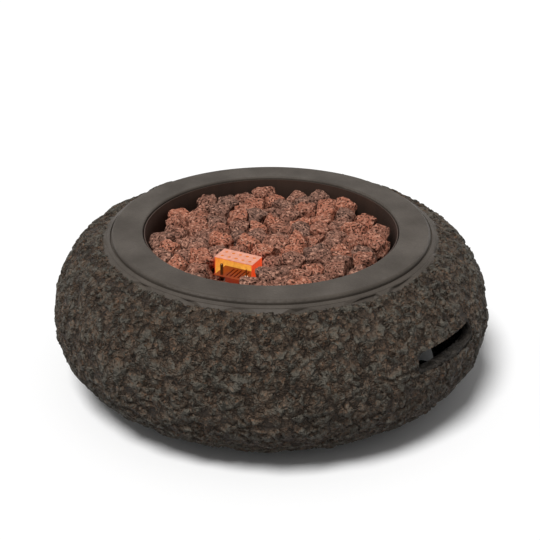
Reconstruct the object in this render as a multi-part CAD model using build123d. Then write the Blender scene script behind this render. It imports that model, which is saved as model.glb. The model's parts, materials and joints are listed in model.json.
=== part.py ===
from build123d import *
import math
import os

import numpy as np
from build123d.topology import SkipClean
from scipy.spatial import ConvexHull, HalfspaceIntersection

# A round propane fire pit: a hollow cast-stone bowl on rubber feet, a steel pan of lava rock over a ring
# burner, a guarded igniter among the rocks and a gas valve behind a recessed control panel.
# Millimetres. Origin on the ground under the centre, +Z up, hand holds on X, control panel at +Y.

# Fits
FIT = 0.05
SEAT = 0.2
LOOSE = 0.5

# Cast body
BODY_RADIUS = 345.0
OVERALL_HEIGHT = 250.0
FOOT_HEIGHT = 18.0
EQUATOR_HEIGHT = 118.0
WALL = 18.0
UPPER_REACH = 108.0
LOWER_REACH = 100.0
BOTTOM_INSET = 73.0
BOTTOM_LIP = 6.0
BOTTOM_THINNING = 4.0

# Rim and the smooth collar around it
RIM_INSET = 96.0
RIM_WIDTH = 48.5
RIM_THICKNESS = 24.0
RIM_OUTER_ROUND = 4.0
RIM_INNER_ROUND = 3.0
RIM_STEP = 6.0
GROOVE_WIDTH = 3.0
GROOVE_DEPTH = 2.0
COLLAR_WIDTH = 12.0
COLLAR_DROP = 6.0
COLLAR_SMOOTH = 5.0

# Hewn facets of the outside
HEWN_COLUMNS = 60
HEWN_ROWS = 4
HEWN_DEPTH = 4.0
HEWN_SHAKE = 0.3
HEWN_LEDGE = 1.5
HEWN_STEP = 0.5
HEWN_SEED = 3

# Hand holds
HAND_HOLD_WIDTH = 138.0
HAND_HOLD_HEIGHT = 25.0
HAND_HOLD_RISE = 36.5
HAND_HOLD_CORNER = 11.0

# Feet
FOOT_RADIUS = 19.0
FOOT_EDGE_ROUND = 2.0
FOOT_INSET = 19.0
FOOT_PAD_MARGIN = 5.0
FOOT_PAD_HEIGHT = 24.0
FOOT_RECESS_RADIUS = 8.0
FOOT_RECESS_DEPTH = 9.0
FOOT_COUNT = 3
FOOT_ANGLE = -100.0

# Fasteners
M6_RADIUS = 3.0
M6_HEAD_RADIUS = 5.5
M6_HEAD_HEIGHT = 4.0
M6_KEY_FLATS = 4.0
M6_KEY_DEPTH = 2.5
M6_INSERT_RADIUS = 4.5
M6_INSERT_LENGTH = 13.0
M4_RADIUS = 2.0
M4_HEAD_RADIUS = 3.6
M4_HEAD_HEIGHT = 2.6
M4_NUT_FLATS = 7.0
M4_NUT_HEIGHT = 3.2
M4_INSERT_RADIUS = 3.1
M4_INSERT_LENGTH = 9.0
INSERT_HOLE_SPARE = 2.0

# Burner pan
SHEET = 1.5
PAN_RIM_GAP = 1.5
PAN_TOP_DROP = 4.0
PAN_DEPTH = 96.0
PAN_CORNER = 12.0
PAN_BRACKET_ANGLE = 9.0
PAN_BRACKET_DROP = 30.0
PAN_BRACKET_REACH = 27.0
PAN_SCREW_REACH = 16.2
PAN_BRACKET_COUNT = 4
LEDGE_MARGIN = 11.0
DRAIN_HOLE_RADIUS = 3.0
DRAIN_INSET = 47.5
DRAIN_COUNT = 6

# Ring burner
BURNER_INSET = 89.5
BURNER_TUBE_RADIUS = 9.0
BURNER_TUBE_WALL = 1.2
BURNER_SPOKE_RADIUS = 7.0
BURNER_LIFT = 14.5
BURNER_PORT_RADIUS = 1.4
BURNER_PORT_COUNT = 36
HUB_RADIUS = 17.0
HUB_HEIGHT = 30.0
HUB_CAP = 4.0
NIPPLE_RADIUS = 10.6
NIPPLE_BORE = 8.0
NIPPLE_BELOW_PAN = 24.0
NIPPLE_IN_HUB = 19.0
LOCKNUT_FLATS = 34.0
LOCKNUT_HEIGHT = 7.0
MIXER_RADIUS = 15.0
MIXER_LENGTH = 38.0
MIXER_FLOOR = 5.0
MIXER_GAP = 1.0
MIXER_WINDOW_WIDTH = 9.0
MIXER_WINDOW_HEIGHT = 12.0
JET_SPIGOT_RADIUS = 5.0
JET_SPIGOT_LENGTH = 12.0
JET_FLATS = 17.0
JET_HEX_HEIGHT = 14.0
JET_BORE = 0.9
JET_WALL = 2.0
JET_NOSE = 3.0

# Supply tube
TUBE_RADIUS = 4.75
TUBE_WALL = 1.0
TUBE_BEND = 28.0
TUBE_ENTRY = 7.0
TUBE_SIDE_RUN = 46.0
TUBE_DROP = 34.8
FLARE_NUT_FLATS = 16.0
FLARE_NUT_LENGTH = 13.0

# Pilot guard, built over the burner at -Y and then turned about Z
PILOT_ANGLE = 12.0
HOOD_LENGTH = 64.0
HOOD_DEPTH = 32.0
HOOD_HEIGHT = 28.0
HOOD_SHEET = 1.2
HOOD_DROP = 2.0
HOOD_HOLE_RADIUS = 2.7
HOOD_HOLE_PITCH = 11.8
HOOD_ROW_PITCH = 14.0
HOOD_COLUMNS = 5
BASE_FRONT = 4.0
BASE_SLIT_WIDTH = 2.4
BASE_SLIT_PITCH = 6.4
BASE_SLIT_COUNT = 5
BASE_SLIT_MARGIN = 5.0
BASE_OVERHANG = 1.0
LEG_WIDTH = 24.0
LEG_TAB = 20.0
PILOT_SCREW_TAIL = 6.0
PROBE_OFFSET = 21.0
PROBE_STANDOFF = 14.0
CERAMIC_RADIUS = 2.5
CERAMIC_FLANGE_RADIUS = 4.2
CERAMIC_FLANGE_HEIGHT = 3.0
CERAMIC_ABOVE_BASE = 6.0
ELECTRODE_RADIUS = 1.0
ELECTRODE_ABOVE_BASE = 17.0
ELECTRODE_TAIL = 2.5
THERMOCOUPLE_RADIUS = 2.3
THERMOCOUPLE_ABOVE_BASE = 18.0
PROBE_BELOW_PAN = 4.0

# Leads under the pan
LEAD_RADIUS = 1.6
LEAD_BEND = 12.0
LEAD_DROP = 20.0
LEAD_SPREAD = 80.0
LEAD_CROSSING = 60.0
LEAD_TAIL = 50.0
LEAD_RISE = 40.0
CLIP_WALL = 1.2
CLIP_WIDTH = 8.0

# Control panel
PANEL_SETBACK = 35.0
PANEL_DROP = 6.0
PANEL_SHEET = 2.0
WINDOW_WIDTH = 146.0
WINDOW_HEIGHT = 60.0
WINDOW_CORNER = 12.0
PANEL_LAP_X = 20.0
PANEL_LAP_Z = 9.0
PANEL_SCREW_INSET = 11.0
PANEL_SCREW_SPREAD = 20.0
BOSS_MARGIN = 4.0

# Gas valve
VALVE_X = -40.0
VALVE_WIDTH = 34.0
VALVE_LENGTH = 74.0
VALVE_BORE = 8.0
VALVE_CORNER = 5.0
VALVE_NOSE_WALL = 10.0
VALVE_SCREW_OFFSET = 12.5
VALVE_SCREW_LENGTH = 8.0
PLUG_LENGTH = 22.0
PLUG_PORT_RADIUS = 2.6
STEM_RADIUS = 4.0
STEM_FLAT = 2.6
STEM_IN_PLUG = 14.0
OUTLET_OFFSET = 11.0
INLET_OFFSET = 12.0
INLET_SPIGOT_RADIUS = 6.0
INLET_SPIGOT_LENGTH = 8.0
INLET_FLATS = 19.0
INLET_HEX_HEIGHT = 9.0
INLET_THREAD_RADIUS = 7.94
INLET_THREAD_LENGTH = 14.0
INLET_CONE = 4.0
INLET_BORE = 3.0
MAGNET_COLLAR_LENGTH = 6.0
MAGNET_CORE_RADIUS = 6.0
MAGNET_CORE_LENGTH = 30.0
MAGNET_FLATS = 19.0
MAGNET_HEX_LENGTH = 9.0
SPRING_WIRE = 0.45
SPRING_RADIUS = 3.0
SPRING_TURNS = 5

# Control knob
KNOB_SKIRT_RADIUS = 23.0
KNOB_SKIRT_HEIGHT = 4.0
KNOB_GRIP_RADIUS = 19.0
KNOB_TIP_RADIUS = 17.0
KNOB_GAP = 8.0
KNOB_SOCKET = 17.0
KNOB_FLUTES = 18
KNOB_FLUTE_RADIUS = 1.8
KNOB_LINE_WIDTH = 2.0
KNOB_LINE_DEPTH = 0.8
KNOB_LINE_START = 4.0
KNOB_EDGE_ROUND = 1.5

# Push-button igniter
IGNITER_X = 40.0
IGNITER_RADIUS = 11.0
IGNITER_BORE = 9.0
IGNITER_LENGTH = 66.0
IGNITER_END = 3.0
IGNITER_FLANGE_RADIUS = 15.0
IGNITER_FLANGE = 3.0
IGNITER_NUT_FLATS = 30.0
IGNITER_NUT_LENGTH = 6.0
IGNITER_POST_RADIUS = 2.0
IGNITER_POST_LENGTH = 6.0
BATTERY_RADIUS = 7.1
BATTERY_LENGTH = 50.0
BATTERY_NUB_RADIUS = 2.6
BATTERY_NUB_HEIGHT = 1.5
BATTERY_SPRING_TURNS = 3
BUTTON_RADIUS = 7.4
BUTTON_COLLAR = 2.5
BUTTON_PROUD = 8.0
BUTTON_ROUND = 2.0

# Lava rock
ROCK_GAP = 0.5
ROCK_TOP_RADIUS = 18.5
ROCK_LOW_RADIUS = 24.0
ROCK_SPREAD = 0.22
ROCK_FACETS = 9
ROCK_EDGE = 5.0
ROCK_TOP_PITCH = 33.0
ROCK_LOW_PITCH = 39.0
ROCK_WALL_REACH = 17.0
ROCK_LOW_LEVEL = 26.0
ROCK_TOP_LEVEL = 70.0
ROCK_DIP = 26.0
ROCK_CLEARING = 40.0
ROCK_CLEARING_DROP = 3.0
ROCK_CLEARING_SHARE = 0.8
ROCK_CROWN = 0.86
ROCK_TILT = 16.0
ROCK_JITTER = 4.5
ROCK_LEAST = 6.0
ROCK_SEED = 5

# Levels and faces that follow from the sizes above
HAND_HOLD_CENTRE = EQUATOR_HEIGHT + HAND_HOLD_RISE
PANEL_CENTRE = EQUATOR_HEIGHT - PANEL_DROP
BOTTOM_EDGE_RADIUS = BODY_RADIUS - BOTTOM_INSET
FOOT_CENTRE_RADIUS = BOTTOM_EDGE_RADIUS - FOOT_INSET
RIM_OUTER_RADIUS = BODY_RADIUS - RIM_INSET
RIM_INNER_RADIUS = RIM_OUTER_RADIUS - RIM_WIDTH
RIM_UNDERSIDE = OVERALL_HEIGHT - RIM_THICKNESS
COLLAR_LEVEL = OVERALL_HEIGHT - RIM_STEP
PAN_OUTER = RIM_INNER_RADIUS - PAN_RIM_GAP
PAN_INNER = PAN_OUTER - SHEET
PAN_TOP = OVERALL_HEIGHT - PAN_TOP_DROP
PAN_UNDERSIDE = PAN_TOP - PAN_DEPTH
PAN_FLOOR = PAN_UNDERSIDE + SHEET
PAN_SCREW_RADIUS = PAN_OUTER + PAN_SCREW_REACH
LEDGE_RADIUS = PAN_OUTER + PAN_BRACKET_REACH + LEDGE_MARGIN
DRAIN_CIRCLE = PAN_INNER - DRAIN_INSET
BURNER_RADIUS = PAN_INNER - BURNER_INSET
BURNER_LEVEL = PAN_FLOOR + BURNER_LIFT
HOOD_LEVEL = PAN_TOP - HOOD_DROP - HOOD_HEIGHT
BASE_LEVEL = HOOD_LEVEL - HOOD_SHEET
LEAD_LEVEL = PAN_UNDERSIDE - LEAD_DROP
PROBE_END = PAN_UNDERSIDE - PROBE_BELOW_PAN
PROBE_Y = -BURNER_RADIUS - PROBE_STANDOFF
BASE_OUTER_Y = -BURNER_RADIUS - HOOD_DEPTH / 2 - BASE_FRONT
BASE_INNER_Y = -BURNER_RADIUS + HOOD_DEPTH / 2
PANEL_FACE = BODY_RADIUS - PANEL_SETBACK
PANEL_BACK = PANEL_FACE - PANEL_SHEET
VALVE_REAR = PANEL_BACK - VALVE_LENGTH
VALVE_NOSE = PANEL_BACK - VALVE_NOSE_WALL
KNOB_BACK = PANEL_FACE + KNOB_GAP
KNOB_LENGTH = BODY_RADIUS - KNOB_BACK
STEM_REAR = VALVE_NOSE - STEM_IN_PLUG
STEM_FRONT = KNOB_BACK + KNOB_SOCKET - SEAT
MIXER_TOP = PAN_UNDERSIDE - LOCKNUT_HEIGHT - MIXER_GAP
MIXER_BASE = MIXER_TOP - MIXER_LENGTH
TUBE_END = MIXER_BASE - JET_HEX_HEIGHT + TUBE_ENTRY - SEAT
TUBE_LOW_LEVEL = TUBE_END - TUBE_DROP
IGNITER_REAR = PANEL_FACE - IGNITER_LENGTH
BUTTON_BACK = PANEL_FACE - SEAT - BUTTON_COLLAR


def block(low, high):
    size = [b - a for a, b in zip(low, high)]
    middle = [(a + b) / 2 for a, b in zip(low, high)]
    return Pos(*middle) * Box(*size)


def post(radius, low, high, x=0.0, y=0.0):
    return Pos(x, y, (low + high) / 2) * Cylinder(radius, high - low)


def rod_x(radius, low, high, y=0.0, z=0.0):
    return Pos((low + high) / 2, y, z) * Rot(0, 90, 0) * Cylinder(radius, high - low)


def rod_y(radius, low, high, x=0.0, z=0.0):
    return Pos(x, (low + high) / 2, z) * Rot(90, 0, 0) * Cylinder(radius, high - low)


def hexagon_z(flats, low, high, x=0.0, y=0.0):
    face = RegularPolygon(flats / 2, 6, major_radius=False)
    return Pos(x, y, low) * extrude(face, high - low)


def hexagon_y(flats, low, high, x=0.0, z=0.0):
    face = RegularPolygon(flats / 2, 6, major_radius=False)
    return Pos(x, high, z) * Rot(90, 0, 0) * extrude(face, high - low)


def around(count, shape, first=0.0):
    return [Rot(0, 0, first + 360.0 * k / count) * shape for k in range(count)]


def turned(shape):
    return Rot(0, 0, PILOT_ANGLE) * shape


def turned_point(x, y, z):
    c = math.cos(math.radians(PILOT_ANGLE))
    s = math.sin(math.radians(PILOT_ANGLE))
    return (x * c - y * s, x * s + y * c, z)


def spun(edges):
    return revolve(Plane.XZ * make_face(edges), axis=Axis.Z)


def tube_along(points, radius, bend, bore=0.0):
    path = FilletPolyline(*points, radius=bend)
    start = Plane(origin=path @ 0, z_dir=path % 0)
    section = start * Circle(radius)
    if bore:
        section -= start * Circle(bore)
    return sweep(section, path=path)


def quarter_curve(centre, reach, rise, radius, level):
    # Elliptical arc between the point at radius, level and the equator point straight out from the centre.
    angle = math.degrees(math.acos((radius - centre) / reach))
    if level < EQUATOR_HEIGHT:
        return EllipticalCenterArc((centre, EQUATOR_HEIGHT), reach, rise, -angle, arc_size=angle)
    return EllipticalCenterArc((centre, EQUATOR_HEIGHT), reach, rise, 0, arc_size=angle)


def collar_slope(reach):
    # Level of the collar at this reach out from the groove.
    return COLLAR_LEVEL - COLLAR_DROP * reach / COLLAR_WIDTH


def hewn_rings():
    # Centre, reach, rise, angle and angle step on the elliptical section of each ring of facet corners.
    shoulder = RIM_OUTER_RADIUS + GROOVE_WIDTH + COLLAR_WIDTH
    upper = BODY_RADIUS - UPPER_REACH
    lower = BODY_RADIUS - LOWER_REACH
    top = math.acos((shoulder - upper) / UPPER_REACH)
    low = math.acos((BOTTOM_EDGE_RADIUS - lower) / LOWER_REACH)
    upper_rise = (collar_slope(COLLAR_WIDTH) - EQUATOR_HEIGHT) / math.sin(top)
    lower_rise = (EQUATOR_HEIGHT - FOOT_HEIGHT) / math.sin(low)
    rings = []
    for row in range(-HEWN_ROWS, HEWN_ROWS + 1):
        if row < 0:
            rings.append((lower, LOWER_REACH, lower_rise, row * low / HEWN_ROWS, low / HEWN_ROWS))
        else:
            rings.append((upper, UPPER_REACH, upper_rise, row * top / HEWN_ROWS, top / HEWN_ROWS))
    return rings


def hewn_corner(ring, heading, climb, depth):
    # A facet corner on a ring, moved up the face by a share of the ring's step and into the stone.
    centre, reach, rise, angle, step = ring
    angle += climb * step
    slope = math.atan2(reach * math.sin(angle), rise * math.cos(angle))
    radius = centre + reach * math.cos(angle) - depth * math.cos(slope)
    level = EQUATOR_HEIGHT + rise * math.sin(angle) - depth * math.sin(slope)
    return (radius * math.cos(heading), radius * math.sin(heading), level)


def hewn_solid():
    # The rough outside as flat facets between shaken corners. The lowest and the highest ring stay flat, and
    # the corners of the widest ring that lie on the X and Y axes keep the true radius.
    rng = np.random.default_rng(HEWN_SEED)
    least = (-HEWN_SHAKE, -HEWN_SHAKE, 0)
    most = (HEWN_SHAKE, HEWN_SHAKE, HEWN_DEPTH)
    column_step = 2 * math.pi / HEWN_COLUMNS
    edge = RIM_OUTER_RADIUS + GROOVE_WIDTH + COLLAR_SMOOTH + HEWN_LEDGE
    edge_level = collar_slope(COLLAR_SMOOTH) - HEWN_STEP
    rows = []
    for row, ring in enumerate(hewn_rings()):
        shakes = rng.uniform(least, most, (HEWN_COLUMNS, 3))
        if row == 0:
            shakes *= 0
        if row == HEWN_ROWS:
            shakes[::HEWN_COLUMNS // 4] = 0
        stagger = (row + HEWN_ROWS) % 2 / 2
        rows.append([
            hewn_corner(ring, (column + stagger + turn) * column_step, climb, depth)
            for column, (turn, climb, depth) in enumerate(shakes)
        ])
    stagger = (len(rows) + HEWN_ROWS) % 2 / 2
    headings = [(column + stagger) * column_step for column in range(HEWN_COLUMNS)]
    rows.append([(edge * math.cos(heading), edge * math.sin(heading), edge_level) for heading in headings])
    faces = [Face(Wire.make_polygon(rows[0][::-1])), Face(Wire.make_polygon(rows[-1]))]
    for row in range(len(rows) - 1):
        for column in range(HEWN_COLUMNS):
            following = (column + 1) % HEWN_COLUMNS
            a, b = rows[row][column], rows[row][following]
            c, d = rows[row + 1][column], rows[row + 1][following]
            if (row + HEWN_ROWS) % 2:
                triangles = ((a, b, d), (a, d, c))
            else:
                triangles = ((a, b, c), (b, d, c))
            faces += [Face(Wire.make_polygon(corners)) for corners in triangles]
    return Solid(Shell(faces))


def outer_solid():
    groove = RIM_OUTER_RADIUS + GROOVE_WIDTH
    edge = groove + COLLAR_SMOOTH
    rim_round = CenterArc(
        (RIM_OUTER_RADIUS - RIM_OUTER_ROUND, OVERALL_HEIGHT - RIM_OUTER_ROUND), RIM_OUTER_ROUND, 0, 90
    )
    outline = Polyline(
        rim_round @ 1,
        (0, OVERALL_HEIGHT),
        (0, RIM_UNDERSIDE),
        (edge, RIM_UNDERSIDE),
        (edge, collar_slope(COLLAR_SMOOTH)),
        (groove, COLLAR_LEVEL),
        (RIM_OUTER_RADIUS + GROOVE_WIDTH / 2, COLLAR_LEVEL - GROOVE_DEPTH),
        (RIM_OUTER_RADIUS, COLLAR_LEVEL - GROOVE_DEPTH),
        rim_round @ 0,
    )
    return hewn_solid() + spun([*rim_round.edges(), *outline.edges()])


def cavity():
    opening = BOTTOM_EDGE_RADIUS - BOTTOM_LIP
    inner = BODY_RADIUS - WALL
    lower = BODY_RADIUS - LOWER_REACH
    lower_reach = inner - lower
    lower_rise = EQUATOR_HEIGHT - FOOT_HEIGHT - WALL + BOTTOM_THINNING
    upper_reach = inner - LEDGE_RADIUS
    upper_rise = RIM_UNDERSIDE - EQUATOR_HEIGHT
    above = quarter_curve(LEDGE_RADIUS, upper_reach, upper_rise, LEDGE_RADIUS, RIM_UNDERSIDE)
    below = quarter_curve(lower, lower_reach, lower_rise, opening, FOOT_HEIGHT)
    rim_round = CenterArc(
        (RIM_INNER_RADIUS + RIM_INNER_ROUND, OVERALL_HEIGHT - RIM_INNER_ROUND), RIM_INNER_ROUND, 90, 90
    )
    throat = Polyline(rim_round @ 1, (RIM_INNER_RADIUS, RIM_UNDERSIDE), above @ 1)
    closing = Polyline(
        below @ 0, (opening, FOOT_HEIGHT), (0, FOOT_HEIGHT), (0, OVERALL_HEIGHT), rim_round @ 0
    )
    return spun([*above.edges(), *below.edges(), *throat.edges(), *rim_round.edges(), *closing.edges()])


def foot_places():
    return around(FOOT_COUNT, Pos(FOOT_CENTRE_RADIUS, 0, 0), FOOT_ANGLE)


def pan_bracket_places():
    return around(PAN_BRACKET_COUNT, Pos(PAN_SCREW_RADIUS, 0, 0), 45.0)


def panel_screw_points():
    x = WINDOW_WIDTH / 2 + PANEL_SCREW_INSET
    return [(sx * x, PANEL_CENTRE + sz * PANEL_SCREW_SPREAD) for sx in (-1, 1) for sz in (-1, 1)]


def window(width, height, corner, low, high):
    face = RectangleRounded(width, height, corner)
    return Pos(0, high, PANEL_CENTRE) * Rot(90, 0, 0) * extrude(face, high - low)


def stone_body():
    pad_radius = FOOT_RADIUS + FOOT_PAD_MARGIN
    pad_top = FOOT_HEIGHT + FOOT_PAD_HEIGHT
    pad = post(pad_radius, FOOT_HEIGHT, pad_top, FOOT_CENTRE_RADIUS)
    pad += block((FOOT_CENTRE_RADIUS, -pad_radius, FOOT_HEIGHT), (BODY_RADIUS, pad_radius, pad_top))
    boss_x = WINDOW_WIDTH / 2 + PANEL_LAP_X + BOSS_MARGIN
    boss_z = WINDOW_HEIGHT / 2 + PANEL_LAP_Z + BOSS_MARGIN
    boss = block(
        (-boss_x, PANEL_FACE, PANEL_CENTRE - boss_z), (boss_x, BODY_RADIUS, PANEL_CENTRE + boss_z)
    )
    hollow = cavity() - around(FOOT_COUNT, pad, FOOT_ANGLE) - boss
    recess = window(WINDOW_WIDTH, WINDOW_HEIGHT, WINDOW_CORNER, PANEL_FACE - 1, BODY_RADIUS + 1)
    seat_width = WINDOW_WIDTH + 2 * PANEL_LAP_X + 2 * LOOSE
    seat_height = WINDOW_HEIGHT + 2 * PANEL_LAP_Z + 2 * LOOSE
    seat = window(seat_width, seat_height, WINDOW_CORNER / 2, VALVE_REAR, PANEL_FACE)
    grip = RectangleRounded(HAND_HOLD_WIDTH, HAND_HOLD_HEIGHT, HAND_HOLD_CORNER)
    grip = Rot(0, 90, 0) * Rot(0, 0, 90) * extrude(grip, BODY_RADIUS + 10, both=True)
    grip = Pos(0, 0, HAND_HOLD_CENTRE) * grip
    insert = M6_INSERT_RADIUS + FIT
    depth = M6_INSERT_LENGTH + INSERT_HOLE_SPARE
    holes = [place * post(insert, FOOT_HEIGHT - 1, FOOT_HEIGHT + depth) for place in foot_places()]
    holes += [
        place * post(insert, RIM_UNDERSIDE - 1, RIM_UNDERSIDE + depth) for place in pan_bracket_places()
    ]
    small = M4_INSERT_RADIUS + FIT
    holes += [
        rod_y(small, PANEL_FACE - 1, PANEL_FACE + M4_INSERT_LENGTH + INSERT_HOLE_SPARE, x, z)
        for x, z in panel_screw_points()
    ]
    return outer_solid() - [hollow, recess, seat, grip, *holes]


def threaded_inserts():
    large = post(M6_INSERT_RADIUS, 0, M6_INSERT_LENGTH) - post(M6_RADIUS + FIT, -1, M6_INSERT_LENGTH + 1)
    feet = [place * Pos(0, 0, FOOT_HEIGHT + SEAT) * large for place in foot_places()]
    pan = [place * Pos(0, 0, RIM_UNDERSIDE + SEAT) * large for place in pan_bracket_places()]
    panel = []
    end = PANEL_FACE + M4_INSERT_LENGTH
    for x, z in panel_screw_points():
        sleeve = rod_y(M4_INSERT_RADIUS, PANEL_FACE + SEAT, end, x, z)
        panel.append(sleeve - rod_y(M4_RADIUS + FIT, PANEL_FACE - 1, end + 1, x, z))
    return feet + pan + panel


def rubber_feet():
    foot = post(FOOT_RADIUS, 0, FOOT_HEIGHT)
    foot = fillet(foot.edges().group_by(Axis.Z)[0], FOOT_EDGE_ROUND)
    foot -= post(FOOT_RECESS_RADIUS, -1, FOOT_RECESS_DEPTH)
    foot -= post(M6_RADIUS + FIT, -1, FOOT_HEIGHT + 1)
    return [place * foot for place in foot_places()]


def foot_screws():
    face = FOOT_RECESS_DEPTH - M6_HEAD_HEIGHT
    head = post(M6_HEAD_RADIUS, face, FOOT_RECESS_DEPTH)
    head -= hexagon_z(M6_KEY_FLATS, face - 1, face + M6_KEY_DEPTH)
    screw = head + post(M6_RADIUS, FOOT_RECESS_DEPTH, FOOT_HEIGHT + M6_INSERT_LENGTH)
    return [place * screw for place in foot_places()]


def pilot_floor_holes():
    holes = [
        post(CERAMIC_RADIUS + LOOSE, PAN_UNDERSIDE - 5, PAN_FLOOR + 5, x, PROBE_Y)
        for x in (-PROBE_OFFSET, PROBE_OFFSET)
    ]
    holes.append(post(M4_RADIUS + FIT, PAN_UNDERSIDE - 5, PAN_FLOOR + 5, 0, BASE_OUTER_Y - LEG_TAB / 2))
    return [turned(hole) for hole in holes]


def burner_pan():
    outside = post(PAN_OUTER, PAN_UNDERSIDE, PAN_TOP)
    outside = fillet(outside.edges().group_by(Axis.Z)[0], PAN_CORNER + SHEET)
    inside = post(PAN_INNER, PAN_FLOOR, PAN_TOP + 5)
    inside = fillet(inside.edges().group_by(Axis.Z)[0], PAN_CORNER)
    pan = outside - inside - post(NIPPLE_RADIUS + FIT, PAN_UNDERSIDE - 5, PAN_FLOOR + 5)
    drain = post(DRAIN_HOLE_RADIUS, PAN_UNDERSIDE - 5, PAN_FLOOR + 5, DRAIN_CIRCLE)
    return pan - around(DRAIN_COUNT, drain, 30.0) - pilot_floor_holes()


def pan_brackets():
    top = RIM_UNDERSIDE - SEAT
    outline = Polyline(
        (PAN_OUTER, top),
        (PAN_OUTER + PAN_BRACKET_REACH, top),
        (PAN_OUTER + PAN_BRACKET_REACH, top - 2 * SHEET),
        (PAN_OUTER + 2 * SHEET, top - 2 * SHEET),
        (PAN_OUTER + 2 * SHEET, top - PAN_BRACKET_DROP),
        (PAN_OUTER, top - PAN_BRACKET_DROP),
        close=True,
    )
    angle = revolve(Plane.XZ * make_face(outline), axis=Axis.Z, revolution_arc=PAN_BRACKET_ANGLE)
    angle = Rot(0, 0, -PAN_BRACKET_ANGLE / 2) * angle
    if angle.center().X < 0:
        angle = Rot(0, 0, 180) * angle
    angle -= post(M6_RADIUS + FIT, RIM_UNDERSIDE - 20, RIM_UNDERSIDE + 5, PAN_SCREW_RADIUS)
    return around(PAN_BRACKET_COUNT, angle, 45.0)


def pan_screws():
    seat = RIM_UNDERSIDE - SEAT - 2 * SHEET
    head = hexagon_z(2 * M6_HEAD_RADIUS, seat - M6_HEAD_HEIGHT, seat)
    screw = head + post(M6_RADIUS, seat, RIM_UNDERSIDE + M6_INSERT_LENGTH)
    return [place * screw for place in pan_bracket_places()]


def half_ring(tube, spoke):
    section = Plane.XZ * Pos(BURNER_RADIUS, BURNER_LEVEL) * Circle(tube)
    half = Rot(0, 0, -90) * revolve(section, axis=Axis.Z, revolution_arc=180)
    return half + rod_x(spoke, 0, BURNER_RADIUS, 0, BURNER_LEVEL)


def burner_ring():
    # Two halves, each with its spoke, joined without merging faces: a merged torus loses its body.
    hub_top = PAN_FLOOR + HUB_HEIGHT
    spoke_bore = BURNER_SPOKE_RADIUS - BURNER_TUBE_WALL
    half = half_ring(BURNER_TUBE_RADIUS, BURNER_SPOKE_RADIUS)
    half -= half_ring(BURNER_TUBE_RADIUS - BURNER_TUBE_WALL, spoke_bore)
    pitch = 360.0 / BURNER_PORT_COUNT
    port = post(BURNER_PORT_RADIUS, BURNER_LEVEL, BURNER_LEVEL + 2 * BURNER_TUBE_RADIUS, BURNER_RADIUS)
    half -= [Rot(0, 0, -90 + pitch * (k + 0.5)) * port for k in range(BURNER_PORT_COUNT // 2)]
    half -= post(HUB_RADIUS, PAN_FLOOR, hub_top)
    hub = post(HUB_RADIUS, PAN_FLOOR, hub_top)
    hub -= post(NIPPLE_RADIUS + FIT, PAN_FLOOR - 1, hub_top - HUB_CAP)
    hub -= rod_x(spoke_bore, -2 * HUB_RADIUS, 2 * HUB_RADIUS, 0, BURNER_LEVEL)
    with SkipClean():
        return half + Rot(0, 0, 180) * half + hub


def burner_nipple():
    low = PAN_UNDERSIDE - NIPPLE_BELOW_PAN
    high = PAN_FLOOR + NIPPLE_IN_HUB
    nipple = post(NIPPLE_RADIUS, low, high) - post(NIPPLE_BORE, low - 1, high + 1)
    return nipple - rod_x(BURNER_TUBE_RADIUS, -HUB_RADIUS, HUB_RADIUS, 0, high)


def burner_locknut():
    low = PAN_UNDERSIDE - LOCKNUT_HEIGHT
    nut = hexagon_z(LOCKNUT_FLATS, low, PAN_UNDERSIDE)
    return nut - post(NIPPLE_RADIUS + FIT, low - 1, PAN_UNDERSIDE + 1)


def air_mixer():
    nipple_end = PAN_UNDERSIDE - NIPPLE_BELOW_PAN
    mixer = post(MIXER_RADIUS, MIXER_BASE, MIXER_TOP)
    mixer -= post(NIPPLE_RADIUS + FIT, nipple_end, MIXER_TOP + 1)
    mixer -= post(NIPPLE_BORE, MIXER_BASE + MIXER_FLOOR, MIXER_TOP)
    mixer -= post(JET_SPIGOT_RADIUS + FIT, MIXER_BASE - 1, MIXER_TOP)
    low = MIXER_BASE + MIXER_FLOOR + MIXER_GAP
    for turn in (0, 90):
        mixer -= Rot(0, 0, turn) * block(
            (-MIXER_RADIUS - 1, -MIXER_WINDOW_WIDTH / 2, low),
            (MIXER_RADIUS + 1, MIXER_WINDOW_WIDTH / 2, low + MIXER_WINDOW_HEIGHT),
        )
    return mixer


def gas_jet():
    low = MIXER_BASE - JET_HEX_HEIGHT
    top = MIXER_BASE + JET_SPIGOT_LENGTH
    jet = hexagon_z(JET_FLATS, low, MIXER_BASE) + post(JET_SPIGOT_RADIUS, MIXER_BASE, top)
    jet -= post(TUBE_RADIUS + FIT, low - 1, low + TUBE_ENTRY)
    jet -= post(JET_SPIGOT_RADIUS - JET_WALL, low, top - JET_NOSE)
    return jet - post(JET_BORE, low, top + 1)


def supply_points():
    y = VALVE_NOSE - OUTLET_OFFSET
    start = VALVE_X - VALVE_WIDTH / 2 + TUBE_ENTRY
    side = VALVE_X - VALVE_WIDTH / 2 - TUBE_SIDE_RUN
    return [
        (start, y, PANEL_CENTRE),
        (side, y, PANEL_CENTRE),
        (side, BURNER_RADIUS / 2, TUBE_LOW_LEVEL),
        (0, 0, TUBE_LOW_LEVEL),
        (0, 0, TUBE_END),
    ]


def supply_tube():
    return tube_along(supply_points(), TUBE_RADIUS, TUBE_BEND, TUBE_RADIUS - TUBE_WALL)


def flare_nut():
    outer = VALVE_X - VALVE_WIDTH / 2 - SEAT
    y = VALVE_NOSE - OUTLET_OFFSET
    nut = Rot(0, 90, 0) * hexagon_z(FLARE_NUT_FLATS, 0, FLARE_NUT_LENGTH)
    nut = Pos(outer - FLARE_NUT_LENGTH, y, PANEL_CENTRE) * nut
    return nut - rod_x(TUBE_RADIUS + FIT, outer - 2 * FLARE_NUT_LENGTH, outer + 1, y, PANEL_CENTRE)


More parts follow.
